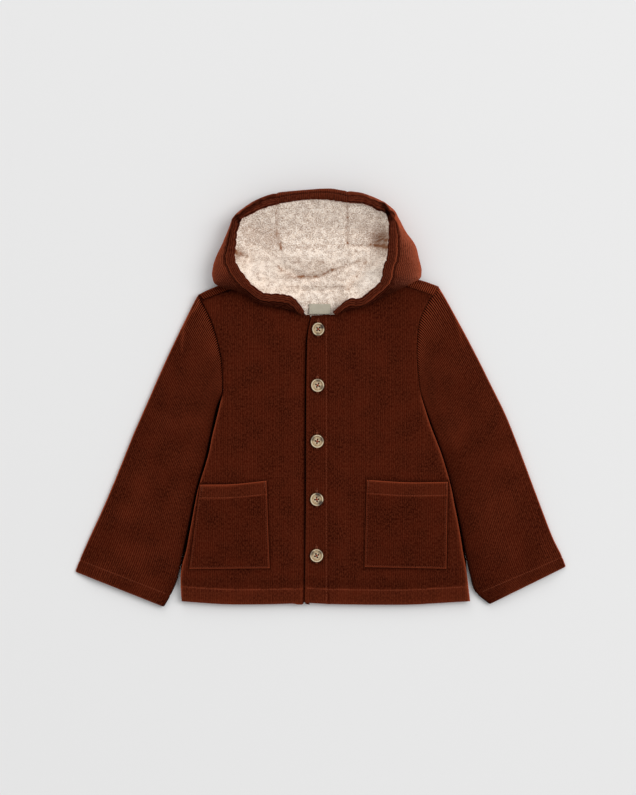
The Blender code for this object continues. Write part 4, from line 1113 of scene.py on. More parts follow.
# --- sleeves ----------------------------------------------------------------------------------------
UNDERARM = {"sleeve_right": 6.0, "sleeve_left": 4.0}  # y where each armhole starts
ARMHOLE_THICK = 14.3
ARMHOLE_FADE = (1.0, 0.72, 0.45, 0.24, 0.1, 0.0)  # how much of the armhole's curve each next row keeps
CUFF_ROLL = 2.6
SLEEVE_INNER = (0.0, 0.6, 1.3, 2.6, 9.0, 26.0, 90.0, 180.0, 270.0)  # rows of the inner face, from the cuff
SLEEVE_GROOVES = 0.7  # how dark the painted shade in the grooves is away from the armholes
EDGE_PRESS = 0.5  # share of its height a sleeve loses at its outer edge
CLOTH_START = {"sleeve_right": 1300, "sleeve_left": 900}  # where in the cloth each sleeve is cut
SLIT = 0.8  # air between the two layers of a sleeve
SLEEVE_SLIT_AT_CUFF = 3.0

# soft creases of the sleeves: from x, y to x, y, width, height
SLEEVE_CREASES = {
    "sleeve_right": (
        (-150.0, 78.0, -158.0, 30.0, 7.0, 0.9),
        (-140.0, 4.0, -196.0, 20.0, 9.0, -0.9),
        (-166.0, -60.0, -206.0, -30.0, 9.0, 0.8),
        (-214.0, -70.0, -196.0, -150.0, 10.0, 0.8),
        (-190.0, -176.0, -236.0, -150.0, 9.0, -0.8),
        (-272.0, -196.0, -250.0, -130.0, 9.0, 0.7),
        (-160.0, 112.0, -176.0, 84.0, 6.0, -0.8),
        (-166.0, 113.0, -178.0, 92.0, 2.6, 1.3),
        (-178.0, 92.0, -181.0, 62.0, 2.6, 1.1),
    ),
    "sleeve_left": (
        (150.0, 84.0, 160.0, 34.0, 7.0, 0.9),
        (144.0, 0.0, 198.0, 24.0, 9.0, -0.9),
        (168.0, -58.0, 206.0, -24.0, 9.0, 0.8),
        (222.0, -44.0, 206.0, -130.0, 10.0, 0.8),
        (196.0, -170.0, 246.0, -140.0, 9.0, -0.8),
        (276.0, -190.0, 256.0, -120.0, 9.0, 0.7),
        (162.0, 118.0, 180.0, 88.0, 6.0, -0.8),
        (169.0, 119.0, 180.0, 90.0, 2.6, 1.3),
        (180.0, 90.0, 187.0, 58.0, 2.6, 1.1),
    ),
}


def stadium(turn, wide, tall):
    """Point and outward direction round a flattened tube, from its inner edge over the top.

    The outline is two straight lines joined by half circles of radius tall / 2. `turn` is the
    share of the way round. Gives the distance across, the height and the angle of the normal.
    """
    r, flat = tall / 2, wide - tall
    quarter = math.pi * r / 2
    run = turn * 2 * (flat + 2 * quarter)
    ends = [quarter, quarter + flat, 3 * quarter + flat, 3 * quarter + 2 * flat]
    where = [run < e for e in ends]
    centre = np.select(where, [r, r + run - ends[0], r + flat, r + flat - (run - ends[2])], r + 0 * run)
    angle = np.select(
        where,
        [
            math.pi - run / r,
            math.pi / 2 + 0 * run,
            math.pi / 2 - (run - ends[1]) / r,
            -math.pi / 2 + 0 * run,
        ],
        -math.pi / 2 - (run - ends[3]) / r,
    )
    return centre + r * np.cos(angle), r + r * np.sin(angle), angle


def sleeve_rows(node):
    """Armhole curve of a sleeve and its table of rows, the armhole's chord first."""
    west = node == "sleeve_right"
    plan, tip = (WEST, BACK.corner[3]) if west else (EAST, BACK.corner[2])
    y = np.linspace(UNDERARM[node], plan.corner[3 if west else 2][1], 12)
    x = (plan.left if west else plan.right)(y)
    arm = smooth_curve(np.vstack([stacked(x, y), tip]), 25)
    arm[:, 0] += -0.4 * GAP if west else 0.4 * GAP
    return arm, np.vstack([[*arm[0], *arm[-1], ARMHOLE_THICK], SLEEVES[node]])


def sleeve_point(node, at, across):
    """Plan point at fractional rows and distances across (rows x columns), armhole curve included."""
    arm, table = sleeve_rows(node)
    rows = smooth_rows(table, at)
    span = rows[:, 2:4] - rows[:, 0:2]
    share = across / lengths(span)
    run = np.linspace(0, 1, len(arm))
    curve = np.stack([np.interp(share, run, arm[:, k]) for k in range(2)], axis=-1)
    chord = table[0, 0:2] + share[..., None] * (table[0, 2:4] - table[0, 0:2])
    fade = np.interp(at, np.arange(len(ARMHOLE_FADE)), ARMHOLE_FADE)[:, None, None]
    return rows[:, None, 0:2] + share[..., None] * span[:, None] + fade * (curve - chord)


def pressed(at, from_outer):
    """Share of its height a sleeve keeps: flatter towards its outer edge, below the armhole."""
    return 1 - EDGE_PRESS * (1 - ease(from_outer, 0, 30)) * ease(np.asarray(at), 0.3, 2.0)[:, None]


def sleeve_size(node, at):
    """Width and height of a sleeve at fractional rows."""
    rows = smooth_rows(sleeve_rows(node)[1], at)
    return lengths(rows[:, 2:4] - rows[:, 0:2]), rows[:, 4][:, None]


def sleeve_layer(node, at, turn):
    """Plan, height, angle round, distance across, width and soft creases of a sleeve's outer face."""
    wide, tall = sleeve_size(node, at)
    across, z, angle = stadium(turn[None, :], wide - 2 * RIB_TALL, tall - 2 * RIB_TALL)
    plan = sleeve_point(node, at, across + RIB_TALL)
    x, y = plan[..., 0], plan[..., 1]
    from_edge = np.minimum(across, wide - across)
    z = z + RIB_TALL - np.clip(np.sin(angle), 0, 1) * 1.2 * (1 - ease(from_edge, 4, 24))
    soft = creased(x, y, SLEEVE_CREASES[node]) + 0.6 * soft_noise(x, y, 48, 31)
    soft = soft + 0.25 * soft_noise(x, y, 17, 32)
    return plan, z * pressed(at, wide - across), angle, across, wide, soft


# painted highlight along the ridge that runs down from each shoulder: x, y
SLEEVE_RIDGES = {
    "sleeve_right": (
        (-157.3, 128.7), (-161.2, 118.3), (-171.0, 106.6),
        (-177.5, 93.6), (-179.4, 75.4), (-180.5, 60.0),
    ),
    "sleeve_left": (
        (151.1, 140.4), (161.9, 133.9), (174.9, 110.5),
        (181.4, 87.1), (183.0, 74.1), (187.9, 60.0),
    ),
}
# shade of the sleeves beside the body: strength, reach, and the y between which it fades upwards
INNER_SHADE = {"sleeve_right": (0.4, 4.0, 20.0, 60.0), "sleeve_left": (0.42, 12.0, -75.0, -45.0)}
ARMHOLE_SHADE = {"sleeve_right": 0.8, "sleeve_left": 0.3}


def make_sleeve(node):
    """A sleeve: ribs round the whole tube, a rolled cuff, and an inner face back to the armhole."""
    table = sleeve_rows(node)[1]
    fine_at = np.linspace(0, len(table) - 1, 400)
    middle = smooth_rows(table, fine_at)
    middle = (middle[:, 0:2] + middle[:, 2:4]) / 2
    length = run_along(middle)
    total = length[-1]
    dense = ((2.5, 2.5, 0.8), (total - 1.3, 1.3, 0.43), (total - CUFF_LINE, 3.2, 0.8))
    run = rows_between(0, total, 4.2, dense)
    at = np.interp(run, length, fine_at)
    mean_round = 2 * np.linalg.norm(table[:, 2:4] - table[:, 0:2], axis=1).mean()
    ribs = round(mean_round / RIB)
    turn = ((np.arange(ribs)[:, None] + RIB_STEPS) / ribs).ravel()
    rib = np.tile(RIB_SHAPE, ribs)[None, :]
    plan, z, angle, across, wide, soft = sleeve_layer(node, at, turn)
    from_edge = np.minimum(across, wide - across)
    x, y, up = plan[..., 0], plan[..., 1], np.clip(np.sin(angle), 0, 1)
    seam, to_cuff = run[:, None], total - run[:, None]
    calm = ease(from_edge, 3, 22) * ease(to_cuff, 10, 40) * ease(seam, 2, 14)
    out = rib * RIB_TALL * (0.85 + 0.15 * soft_noise(x, y, 13, 33))
    out = out - 0.6 * groove(to_cuff - CUFF_LINE, 1.3) - 2.2 * up * (1 - dome(seam / 5.0))
    rows = smooth_rows(table, at)
    span = rows[:, 2:4] - rows[:, 0:2]
    side = span / lengths(span)
    plan = plan + side[:, None] * (np.cos(angle) * out)[..., None]
    outer = np.concatenate([plan, (z + soft * calm * up + np.sin(angle) * out)[..., None]], axis=-1)
    outer[..., 2] = np.maximum(outer[..., 2], 0)
    inner_at = np.interp(total - np.array(SLEEVE_INNER + (total,)), length, fine_at)
    inner = sleeve_inside(node, inner_at, turn)
    edge = sleeve_inside(node, at, turn)
    outer = (outer + edge) / 2 + (outer - edge) / 2 * dome(to_cuff / CUFF_ROLL)[..., None]
    cuff_keep = dome((total - np.interp(inner_at, fine_at, length)) / CUFF_ROLL)[:, None, None]
    facing = sleeve_outside(node, inner_at, turn)
    inner = (inner + facing) / 2 + (inner - facing) / 2 * cuff_keep
    grid = np.concatenate([outer, inner[1:]], axis=0)
    rows, cols = grid.shape[:2]
    faces = np.vstack([grid_quads(rows, cols, wrap=True), closing_quads(rows, cols)])
    stripes = 1 - ease(seam, 30, 120)
    inner_half = ease(wide / 2 - across, -2, 2)
    sides = ease(np.abs(np.cos(angle)), 0.74, 0.97)
    from_ridge = distance_to(x, y, np.array(SLEEVE_RIDGES[node]))
    ridge = np.exp(-((from_ridge / 1.9) ** 2)) * (1 - ease(seam, 20, 70))
    strength, reach, low_y, high_y = INNER_SHADE[node]
    # painted highlight on the outer side, the cuff's edge and the shoulder ridge; painted shade on the inner
    # side
    painted_light = sides * (0.95 - 1.75 * inner_half) + 0.45 * np.exp(-to_cuff / 1.0) + 0.36 * ridge
    # painted shade beside the body
    beside_body = strength * inner_half * np.exp(-across / reach)
    painted_light = painted_light - beside_body * ease(seam, 4, 20) * (1 - ease(y, low_y, high_y))
    # painted light on the crests and painted shade in the grooves, strongest near the armhole, and the tone
    # of single ribs
    beat = 1.15 * np.exp(-seam / 13) * (0.4 + 0.6 * ease(y, 10, 80)) + 0.13 * (1 - ease(seam, 90, 190)) + 0.13
    painted_light = painted_light + beat * (1.9 * rib**3 - 1.36) * (1 - sides) + rib_tone(turn * ribs * RIB)[None, :]
    # slow tone, painted shade along the armhole seam, and a painted highlight along the cuff stitching
    painted_light = painted_light + 0.05 * soft_noise(x, y, 24, 35) - ARMHOLE_SHADE[node] * np.exp(-seam / 1.3)
    painted_light = painted_light + 0.16 * groove(to_cuff - CUFF_LINE - 0.5, 0.9)
    # painted shade in the grooves, strongest near the armhole
    shown = 1 - (1 - rib) * (SLEEVE_GROOVES + (1 - SLEEVE_GROOVES) * stripes)
    facts = {
        "rib": np.vstack([shown + 0 * z, np.full((len(inner) - 1, cols), 0.6)]),
        "painted_light": np.vstack([painted_light, np.zeros((len(inner) - 1, cols))]),
    }
    v = np.concatenate([run, total + 20 + np.arange(len(inner) - 1) * 30.0])
    u = (turn * mean_round)[None, :] + CLOTH_START[node]
    uv = np.stack(np.broadcast_arrays(u, v[:, None]), axis=-1)
    piece = new_piece(node + "_cloth", grid.reshape(-1, 3), faces.tolist(), CORDUROY, facts, uv)
    dressed(piece, node)
    make_cuff_stitches(node, outer, run, total, turn)


def closing_quads(rows, cols):
    """Quads that join the last row of a wrapped grid to its first."""
    a = (rows - 1) * cols + np.arange(cols)
    b = (rows - 1) * cols + (np.arange(cols) + 1) % cols
    return np.stack([a, b, (np.arange(cols) + 1) % cols, np.arange(cols)], axis=1)


def sleeve_outside(node, at, turn):
    """Plain outer face of a sleeve, without ribs or creases."""
    wide, tall = sleeve_size(node, at)
    across, z, _ = stadium(turn[None, :], wide, tall)
    z = z * pressed(at, wide - across)
    return np.concatenate([sleeve_point(node, at, across), z[..., None]], axis=-1)


def sleeve_inside(node, at, turn):
    """Inner face: the same tube shrunk by half its thickness, so that a slit of air stays."""
    wide, tall = sleeve_size(node, at)
    slit = SLIT + (SLEEVE_SLIT_AT_CUFF - SLIT) * ease(np.asarray(at), 9.0, 10.0)[:, None]
    across, z, _ = stadium(turn[None, :], wide, tall)
    inset = (tall - slit) / 2
    across = inset + across / wide * (wide - 2 * inset)
    z = (tall / 2 + (z - tall / 2) * slit / tall) * pressed(at, wide - across)
    return np.concatenate([sleeve_point(node, at, across), z[..., None]], axis=-1)


def make_cuff_stitches(node, outer, run, total, turn):
    """Stitch line round the cuff, on the upper side."""
    row = int(np.abs(run - (total - CUFF_LINE)).argmin())
    line = outer[row][(turn > 0.03) & (turn < 0.47)][2::4]
    stitch_row(node + "_cuff_stitches", line + (0, 0, 0.35), SEAM_THREAD, seed=8)


# --- hood -------------------------------------------------------------------------------------------
HOOD_TABLE = np.array(HOOD, float)
RIM_ROLL = 2.2  # radius of the roll of cloth at the rim
# distance of the rim stitching from the rim: row of the hood, distance
RIM_LINES = ((0, 12.5), (6, 14.5), (12, 13.5), (15, 12.2), (19, 12.2), (24, 13.8), (29, 14.6), (35, 12.5))
RIM_STITCHED = (3, 32)  # first and last row of the hood with stitching along the rim
SEAM_SLIT = 0.002  # share of a row left open at each seam of the hood
HOOD_LONGEST = 165.0  # how far the hood's rows of points run from the rim, at most
# folds of the hood: from x, y to x, y, width, height
HOOD_CREASES = (
    (-96.0, 226.0, -112.0, 246.0, 3.0, -3.2),
    (-106.0, 222.0, -120.0, 236.0, 3.0, 2.2),
    (-78.0, 240.0, -86.0, 262.0, 3.2, -2.4),
    (-52.0, 250.0, -56.0, 268.0, 3.5, -1.0),
    (80.0, 236.0, 98.0, 254.0, 3.0, -3.2),
    (72.0, 244.0, 86.0, 258.0, 3.2, 1.8),
    (86.0, 226.0, 104.0, 238.0, 3.0, -2.0),
    (60.0, 248.0, 66.0, 264.0, 3.5, -1.2),
    (112.0, 206.0, 124.0, 168.0, 7.0, 1.4),
    (106.0, 216.0, 102.0, 172.0, 5.0, -1.4),
    (-126.0, 206.0, -132.0, 168.0, 6.0, 1.0),
    (-108.0, 150.0, -134.0, 152.0, 6.0, -1.2),
    (118.0, 160.0, 96.0, 148.0, 6.0, -1.0),
)


# painted shade (below 0) and painted highlight (above 0) along the twisted hood ends: from x, y to x, y,
# width, strength
TWIST_SHADES = (
    (82.0, 249.0, 87.0, 240.0, 3.5, -0.8),
    (87.0, 240.0, 91.0, 232.0, 3.5, -0.7),
    (93.6, 236.6, 103.4, 221.6, 1.5, 0.5),
    (-109.0, 236.0, -105.0, 228.0, 3.0, -0.8),
    (-104.0, 238.0, -86.0, 248.0, 2.0, -0.5),
    (-85.0, 252.0, -78.0, 256.0, 2.5, -0.6),
    (-70.0, 258.5, -60.0, 262.0, 2.0, -0.5),
)


def soft_lines(x, y, rows):
    """Soft lines one after another, each its strength times exp(-(distance / width)^2)."""
    for ax, ay, bx, by, width, much in rows:
        near = distance_to(x, y, np.array(((ax, ay), (bx, by))))
        yield much * np.exp(-((near / width) ** 2))


def hood_rows(at):
    """Rows of the hood at fractional numbers: smooth in plan and height, straight in the rest."""
    rows = smooth_rows(HOOD_TABLE, at)
    for k in (5, 6, 7, 8):
        rows[:, k] = np.interp(at, np.arange(len(HOOD_TABLE)), HOOD_TABLE[:, k])
    return rows


def hood_lines(rows, depth, ripple=0.0):
    """Fine line of every hood section, `depth` inside the outer face.

    From the rim it rises over a small roll, runs to where the cloth turns, goes round half an
    ellipse and back along the floor to the root.
    """
    rim, out, root = rows[:, None, 0:2], rows[:, None, 2:4], rows[:, None, 6:8]
    top, base, root_z = (rows[:, k][:, None] for k in (4, 5, 8))
    reach = np.linalg.norm(out - rim, axis=-1)
    along = (out - rim) / reach[..., None]
    rim = rim + along * np.reshape(ripple, (-1, 1, 1))
    bend = np.minimum(reach - 0.5, HOOD_ROUND)
    half = (top - base) / 2
    inside = np.minimum(depth, np.minimum(half - 0.5, bend - 0.4))
    turned = out - along * bend[..., None]
    t = np.concatenate([np.linspace(0, 0.3, 12) ** 1.5 / 0.3**0.5, np.linspace(0.34, 1, 10)])[None, :, None]
    plan = rim + (turned - rim) * t
    from_rim = np.linalg.norm(plan - rim, axis=-1)
    drop = RIM_DROP * (1 - t[..., 0]) ** 2 * ease(reach, 4, 9)
    roll = (1 - depth / 3) * RIM_ROLL * (1 - dome(from_rim / RIM_ROLL))
    z = top - inside - drop - roll
    first = np.concatenate([plan, z[..., None]], axis=-1)
    angle = np.radians(np.linspace(90, -90, 42)[1:])[None, :]
    plan = turned + along * ((bend - inside) * np.cos(angle))[..., None]
    arc = np.concatenate([plan, (base + half + (half - inside) * np.sin(angle))[..., None]], axis=-1)
    t = np.linspace(0, 1, 9)[1:][None, :, None]
    plan = turned + (root - turned) * t
    floor = np.concatenate([plan, (base + (root_z - base) * t[..., 0] + inside)[..., None]], axis=-1)
    return np.concatenate([first, arc, floor], axis=1)


def along_lines(lines, distance=None, share=None):
    """Points at given distances (a row of them per line), or shares of the length, along every line."""
    steps = np.cumsum(np.linalg.norm(np.diff(lines, axis=1), axis=-1), axis=1)
    run = np.concatenate([np.zeros((len(lines), 1)), steps], axis=1)
    points = []
    for k, (line, r) in enumerate(zip(lines, run)):
        at = np.minimum(distance[k], r[-1]) if share is None else share * r[-1]
        points.append(np.stack([np.interp(at, r, line[:, i]) for i in range(3)], axis=-1))
    return np.array(points), run[:, -1]


def outward(grid):
    """Unit normals of a grid of points, from the cross product of its two directions."""
    along, across = np.gradient(grid, axis=1), np.gradient(grid, axis=0)
    normal = np.cross(across, along)
    size = np.linalg.norm(normal, axis=-1, keepdims=True)
    normal = normal / np.maximum(size, 1e-9)
    return normal * (1 if normal[len(normal) // 2, 1, 2] > 0 else -1)


def even_rows(first, last, step):
    """Fractional hood rows between two rows, evenly spaced along the rim and the widest line."""
    at = np.linspace(first, last, 60 * (last - first) + 1)
    step_between = np.diff(smooth_rows(HOOD_TABLE, at), axis=0)
    move = np.linalg.norm(step_between[:, 0:2], axis=1) + np.linalg.norm(step_between[:, 2:4], axis=1)
    run = np.concatenate([[0], np.cumsum(move / 2)])
    return np.interp(np.linspace(0, run[-1], max(3, int(run[-1] / step))), run, at)


def rim_line(at):
    """Distance of the rim stitching from the rim at fractional rows of the hood."""
    table = np.array(RIM_LINES)
    return np.interp(at, table[:, 0], table[:, 1])[:, None]


def rim_ripple(rows):
    """Uneven scallops of the rim's edge in millimetres outwards: round bulges between sharp nicks."""
    x, y = rows[:, 0], rows[:, 1]
    run = 95 * np.arctan2(y - 190, x + 8)
    turn = run / 10.5 + 0.45 * soft_noise(run, 0 * run, 13.0, 41)
    nick = (1 - np.abs(np.sin(math.pi * turn))) ** 2 * (0.6 + 0.4 * soft_noise(run, 0 * run, 9.0, 44))
    return 2.0 * nick - 1.1


def hood_surface(at, distance):
    """Smooth outer face of the hood at fractional rows and distances from the rim."""
    rows = hood_rows(at)
    lines = hood_lines(rows, 0.0, rim_ripple(rows))
    distance = np.broadcast_to(distance, (len(at), np.shape(distance)[-1]))
    grid, total = along_lines(lines, distance)
    normal = outward(grid)
    x, y = grid[..., 0], grid[..., 1]
    line = rim_line(at)
    band = np.clip(distance / line, 0, 1)
    soft = creased(x, y, HOOD_CREASES) * ease(normal[..., 2], -0.1, 0.5)
    soft = soft + 1.3 * np.sin(math.pi * band) ** 0.7 - 1.6 * groove(distance - line, 1.5)
    soft = soft + (0.7 * soft_noise(x, y, 30, 42) + 0.35 * soft_noise(x, y, 12, 43)) * ease(distance, 2, 12)
    seams = groove(at - WEST_SEAM, 0.1) + groove(at - EAST_SEAM, 0.1)
    soft = soft - 1.0 * seams[:, None] * ease(distance, 1, 4)
    soft = soft * ease(grid[..., 2], 1.0, 6.0) * ease(total[:, None] - distance, 2.0, 12.0)
    return grid + normal * soft[..., None], normal, total


def hood_piece(node, at, distance, rib, uv, bright, pale_sheen, inner_points=14):
    """One hood panel: ribbed outer face, smooth inner face, closed at rim, root and seams."""
    outer, normal, total = hood_surface(at, distance)
    ends = ease(total[:, None] - distance[None, :], 0.5, 3.0)
    first = ease(distance, -0.2, 1.2)[None, :]
    outer = outer + normal * (np.broadcast_to(rib, outer.shape[:2]) * RIB_TALL * ends * first)[..., None]
    outer[..., 2] = np.maximum(outer[..., 2], 0)
    rows = hood_rows(at)
    inner_lines = hood_lines(rows, CORD, rim_ripple(rows) + 0.3)
    inner, _ = along_lines(inner_lines, share=np.linspace(1, 0, inner_points))
    grid = np.concatenate([outer, inner], axis=1)
    n, cols = grid.shape[:2]
    faces = grid_quads(n, cols, wrap=True).tolist()
    faces += [list(range(cols)), list(range(n * cols - 1, (n - 1) * cols - 1, -1))]
    flat = np.clip(np.abs(normal[..., 2]), 0, 1)
    past = distance[None, :] - rim_line(at)
    # painted highlight where the cloth turns steep and along the rim
    painted_light = 0.40 * (1 - flat) ** 3 + 0.6 * np.exp(-distance / 0.9)[None, :]
    from_middle = np.abs(at - (WEST_SEAM + EAST_SEAM) / 2)
    wing = bright * ease(from_middle, 4, 8)[:, None]
    x, y = outer[..., 0], outer[..., 1]
    east = ease(x, 0, 60)
    side = ease(from_middle, 5, 8)[:, None]
    from_out = np.linalg.norm(outer[..., :2] - rows[:, None, 2:4], axis=-1)
    turned = ease(from_middle, 2.5, 4.5)[:, None]
    # the widest line of the sides, where a painted highlight and a painted pale sheen lie
    glow = np.exp(-from_out / (7.5 + 4 * east)) * turned * ease(y, 138, 160)
    outside = ease(past, 1.5, 6.0)
    # painted highlight on the sides, most along their widest line
    painted_light = painted_light + (0.2 * wing + 0.8 * bright * glow) * outside
    # painted shade at the foot of the sides, near the fronts
    painted_light = painted_light - 0.70 * (1 - ease(y, 134, 168)) * (1 - glow) * ease(past, 0, 4) * side
    # painted highlight on the band's raised edge, painted shadow just outside it
    painted_light = painted_light + (0.06 + 0.40 * side) * groove(past + 0.9, 1.0)
    painted_light = painted_light - (0.3 + 0.4 * side * (1 - east)) * groove(past - 0.9, 1.1)
    # painted light on the crests and painted shade in the grooves, then the twisted ends' painted shade and
    # highlight
    painted_light = painted_light + (0.45 - 0.2 * east) * (rib - 0.68) * outside + 0.2 * (rib - 0.68)
    painted_light = painted_light + sum(soft_lines(x, y, TWIST_SHADES))
    # pale pink sheen painted along the widest line of the sides, and a faint even pale tint
    sheen_share = pale_sheen * glow * outside + 0.05
    plain = np.full((n, inner_points), 0.5)
    facts = {
        "rib": np.concatenate([np.broadcast_to(rib, outer.shape[:2]), plain], axis=1),
        "painted_light": np.concatenate([painted_light, 0 * plain], axis=1),
        "loose": np.concatenate([np.clip(sheen_share, 0, 1), 0 * plain], axis=1),
    }
    uv = np.concatenate([uv, np.broadcast_to(uv[:, -1:], (n, inner_points, 2))], axis=1)
    piece = new_piece(node + "_cloth", grid.reshape(-1, 3), faces, CORDUROY, facts, uv)
    return dressed(piece, node)


def make_hood():
    """Two sides with ribs along the rim, and a centre strip with ribs across it."""
    last = len(HOOD_TABLE) - 1
    distance, rib = ribbed(0, HOOD_LONGEST)
    # each side has a strength of painted highlight and of painted pale sheen, more on the east side, which
    # faces the light
    for node, first, end, bright, pale_sheen in (
        ("hood_side_right", 0, WEST_SEAM, 0.40, 0.28),
        ("hood_side_left", EAST_SEAM, last, 0.46, 0.62),
    ):
        at = even_rows(first, end, 2.2)
        at[0] += SEAM_SLIT if first else 0
        at[-1] -= SEAM_SLIT if end < last else 0
        uv = np.stack(np.meshgrid(distance + 60 * first, at * 12), axis=-1)
        hood_piece(node, at, distance, rib[None, :], uv, bright, pale_sheen)
    strip = HOOD_TABLE[WEST_SEAM : EAST_SEAM + 1]
    ribs = round(np.linalg.norm(np.diff(strip[:, 0:2], axis=0), axis=1).sum() / RIB)
    share = np.append((np.arange(ribs)[:, None] + RIB_STEPS).ravel() / ribs, 1.0)
    at = WEST_SEAM + SEAM_SLIT + share * (EAST_SEAM - WEST_SEAM - 2 * SEAM_SLIT)
    distance = rows_between(0, HOOD_LONGEST, 3.6, ((1.5, 1.5, 0.6), (RIM_LINE, 3.5, 0.8)))
    uv = np.stack(np.meshgrid(distance, at * 23), axis=-1)[..., ::-1]
    hood_piece("hood_center", at, distance, np.append(np.tile(RIB_SHAPE, ribs), 0)[:, None], uv, 0.05, 0.0)
    at = even_rows(*RIM_STITCHED, 2.0)
    line, normal, _ = hood_surface(at, rim_line(at) + np.array((-0.4, 0.0, 0.4)))
    stitch_row("rim_stitches", line[:, 1] + normal[:, 1] * 0.45, SEAM_THREAD, seed=9)


# --- lining -----------------------------------------------------------------------------------------
RIM_CURVE = smooth_rows(HOOD_TABLE, np.linspace(1, len(HOOD_TABLE) - 2, 140))[:, [0, 1, 4]]
SEAM_HALF = 1.8  # half width of the lining's seams
CURL_TALL = 1.2  # how much higher a full curl stands
LINING_TAIL = 4.5  # how far the hood's lining runs on below the neck seam
LINING_SHOWN = 24.0  # how far the lining of the collar ends runs in from the rim
# y, height of the lining at the rim
RIM_TOP = np.array((
    (125.0, 20.6), (134.0, 24.6), (146.0, 28.0), (160.0, 30.5), (180.0, 32.0),
    (212.0, 33.6), (235.0, 33.0), (246.0, 31.6), (258.0, 30.2),
))
# folds of the lining: from x, y to x, y, width, height
LINING_FOLDS = (
    (-56.0, 176.0, -24.0, 158.0, 5.0, -3.4),
    (-30.0, 158.0, 12.0, 160.0, 5.0, -4.0),
    (4.0, 161.0, 30.0, 172.0, 5.0, -3.6),
    (26.0, 171.0, 64.0, 179.0, 5.0, -2.6),
    (-50.0, 186.0, 26.0, 184.0, 12.0, 3.0),
    (70.0, 178.0, 34.0, 138.0, 3.6, -3.6),
    (80.0, 172.0, 46.0, 134.0, 9.0, 3.5),
    (-112.0, 190.0, -88.0, 178.0, 5.0, -3.0),
    (-96.0, 172.0, -66.0, 150.0, 12.0, 2.4),
    (66.0, 202.0, 90.0, 208.0, 8.0, -11.0),
    (66.0, 214.0, 84.0, 220.0, 7.0, -5.0),
    (36.0, 199.0, 74.0, 198.0, 2.2, -2.0),
    (-40.0, 143.5, 30.0, 143.5, 2.2, -2.0),
    (-80.0, 161.0, -73.0, 156.0, 6.0, 3.2),
)
# places of warm painted shade on the lining: x, y, radius across, radius along, strength
LINING_SHADES = (
    (-82.0, 212.0, 24.0, 18.0, 0.20),
    (-62.0, 203.0, 9.0, 16.0, 0.24),
    (58.0, 214.0, 22.0, 22.0, 0.16),
    (80.0, 206.0, 12.0, 12.0, 0.80),
    (84.0, 197.0, 8.0, 7.0, 0.35),
    (-8.0, 225.0, 48.0, 28.0, 0.06),
    (-12.0, 166.0, 34.0, 8.0, 0.14),
    (-109.0, 187.0, 5.0, 8.0, 0.85),
    (58.0, 178.0, 14.0, 5.0, 0.12),
    (84.0, 184.0, 6.0, 12.0, 0.20),
)
# places of painted light: the same columns
LINING_LIGHTS = (
    (-74.0, 166.0, 26.0, 18.0, 0.30),
    (66.0, 156.0, 20.0, 20.0, 0.75),
    (0.0, 184.0, 50.0, 9.0, 0.20),
    (-6.0, 130.0, 34.0, 12.0, 0.15),
)
# rows of painted shade, as small dark cracks, where panels meet or fold: from x, y to x, y, width, strength
LINING_CRACKS = (
    (-57.0, 250.0, -57.0, 214.0, 1.7, 0.60),
    (-57.0, 216.0, -51.0, 193.0, 2.4, 0.50),
    (35.0, 250.0, 35.0, 199.0, 1.7, 0.60),
    (36.0, 199.0, 76.0, 198.0, 1.7, 0.34),
    (-50.0, 195.0, 26.0, 197.0, 2.6, 0.22),
    (-56.0, 172.0, -42.0, 159.0, 2.4, 0.50),
    (-42.0, 159.0, -22.0, 157.0, 2.6, 0.60),
    (-22.0, 157.0, 0.0, 158.5, 2.6, 0.60),
    (0.0, 158.5, 14.0, 166.0, 2.2, 0.50),
    (14.0, 166.0, 34.0, 172.0, 2.0, 0.42),
    (34.0, 172.0, 50.0, 178.0, 2.0, 0.36),
    (-38.0, 178.0, 4.0, 176.0, 3.0, 0.36),
    (60.0, 178.0, 36.0, 140.0, 2.2, 0.50),
    (-44.0, 144.0, 30.0, 143.5, 1.8, 0.30),
    (-56.0, 166.0, -38.0, 148.0, 1.8, 0.20),
    (-114.0, 192.0, -96.0, 184.0, 3.0, 0.45),
    (66.0, 199.0, 92.0, 194.0, 2.0, 0.70),
)


def spots(x, y, rows):
    """Sum of soft oval spots, each exp(-((x-a)/rx)^2 - ((y-b)/ry)^2)."""
    total = np.zeros(np.shape(x))
    for a, b, rx, ry, much in rows:
        total += much * np.exp(-(((x - a) / rx) ** 2) - ((y - b) / ry) ** 2)
    return total


def teddy(x, y):
    """How curly the pile is, its height from 0 to 1, and how far inside a curl each point lies."""
    loose = 0.5 + 0.5 * (1 - ease(y, 190, 206)) + 0.2 * ease(np.abs(x + 10), 60, 80) * ease(y, 190, 200)
    u = x + 2.2 * soft_noise(x, y, 7, 51) + 0.9 * soft_noise(x, y, 3, 57)
    v = y + 2.2 * soft_noise(x, y, 7, 52) + 0.9 * soft_noise(x, y, 3, 58)
    big, in_big = tufts(u, v, 9.5, 53)
    small, in_small = tufts(u, 1.25 * v, 4.2, 54)
    low = 1 - ease(y, 186, 204)
    height = 0.5 * small + (0.25 + 0.45 * low) * big
    return loose, height, np.clip(in_small * (1 - 0.6 * low * (1 - in_big)), 0, 1)


def smoothness(x, y):
    """Where the curls are long and smooth: the lower part of the hood, most of all on the west."""
    return np.clip((1 - ease(y, 176, 200)) * (0.6 + 0.4 * (1 - ease(x, -50, -20))), 0, 1)


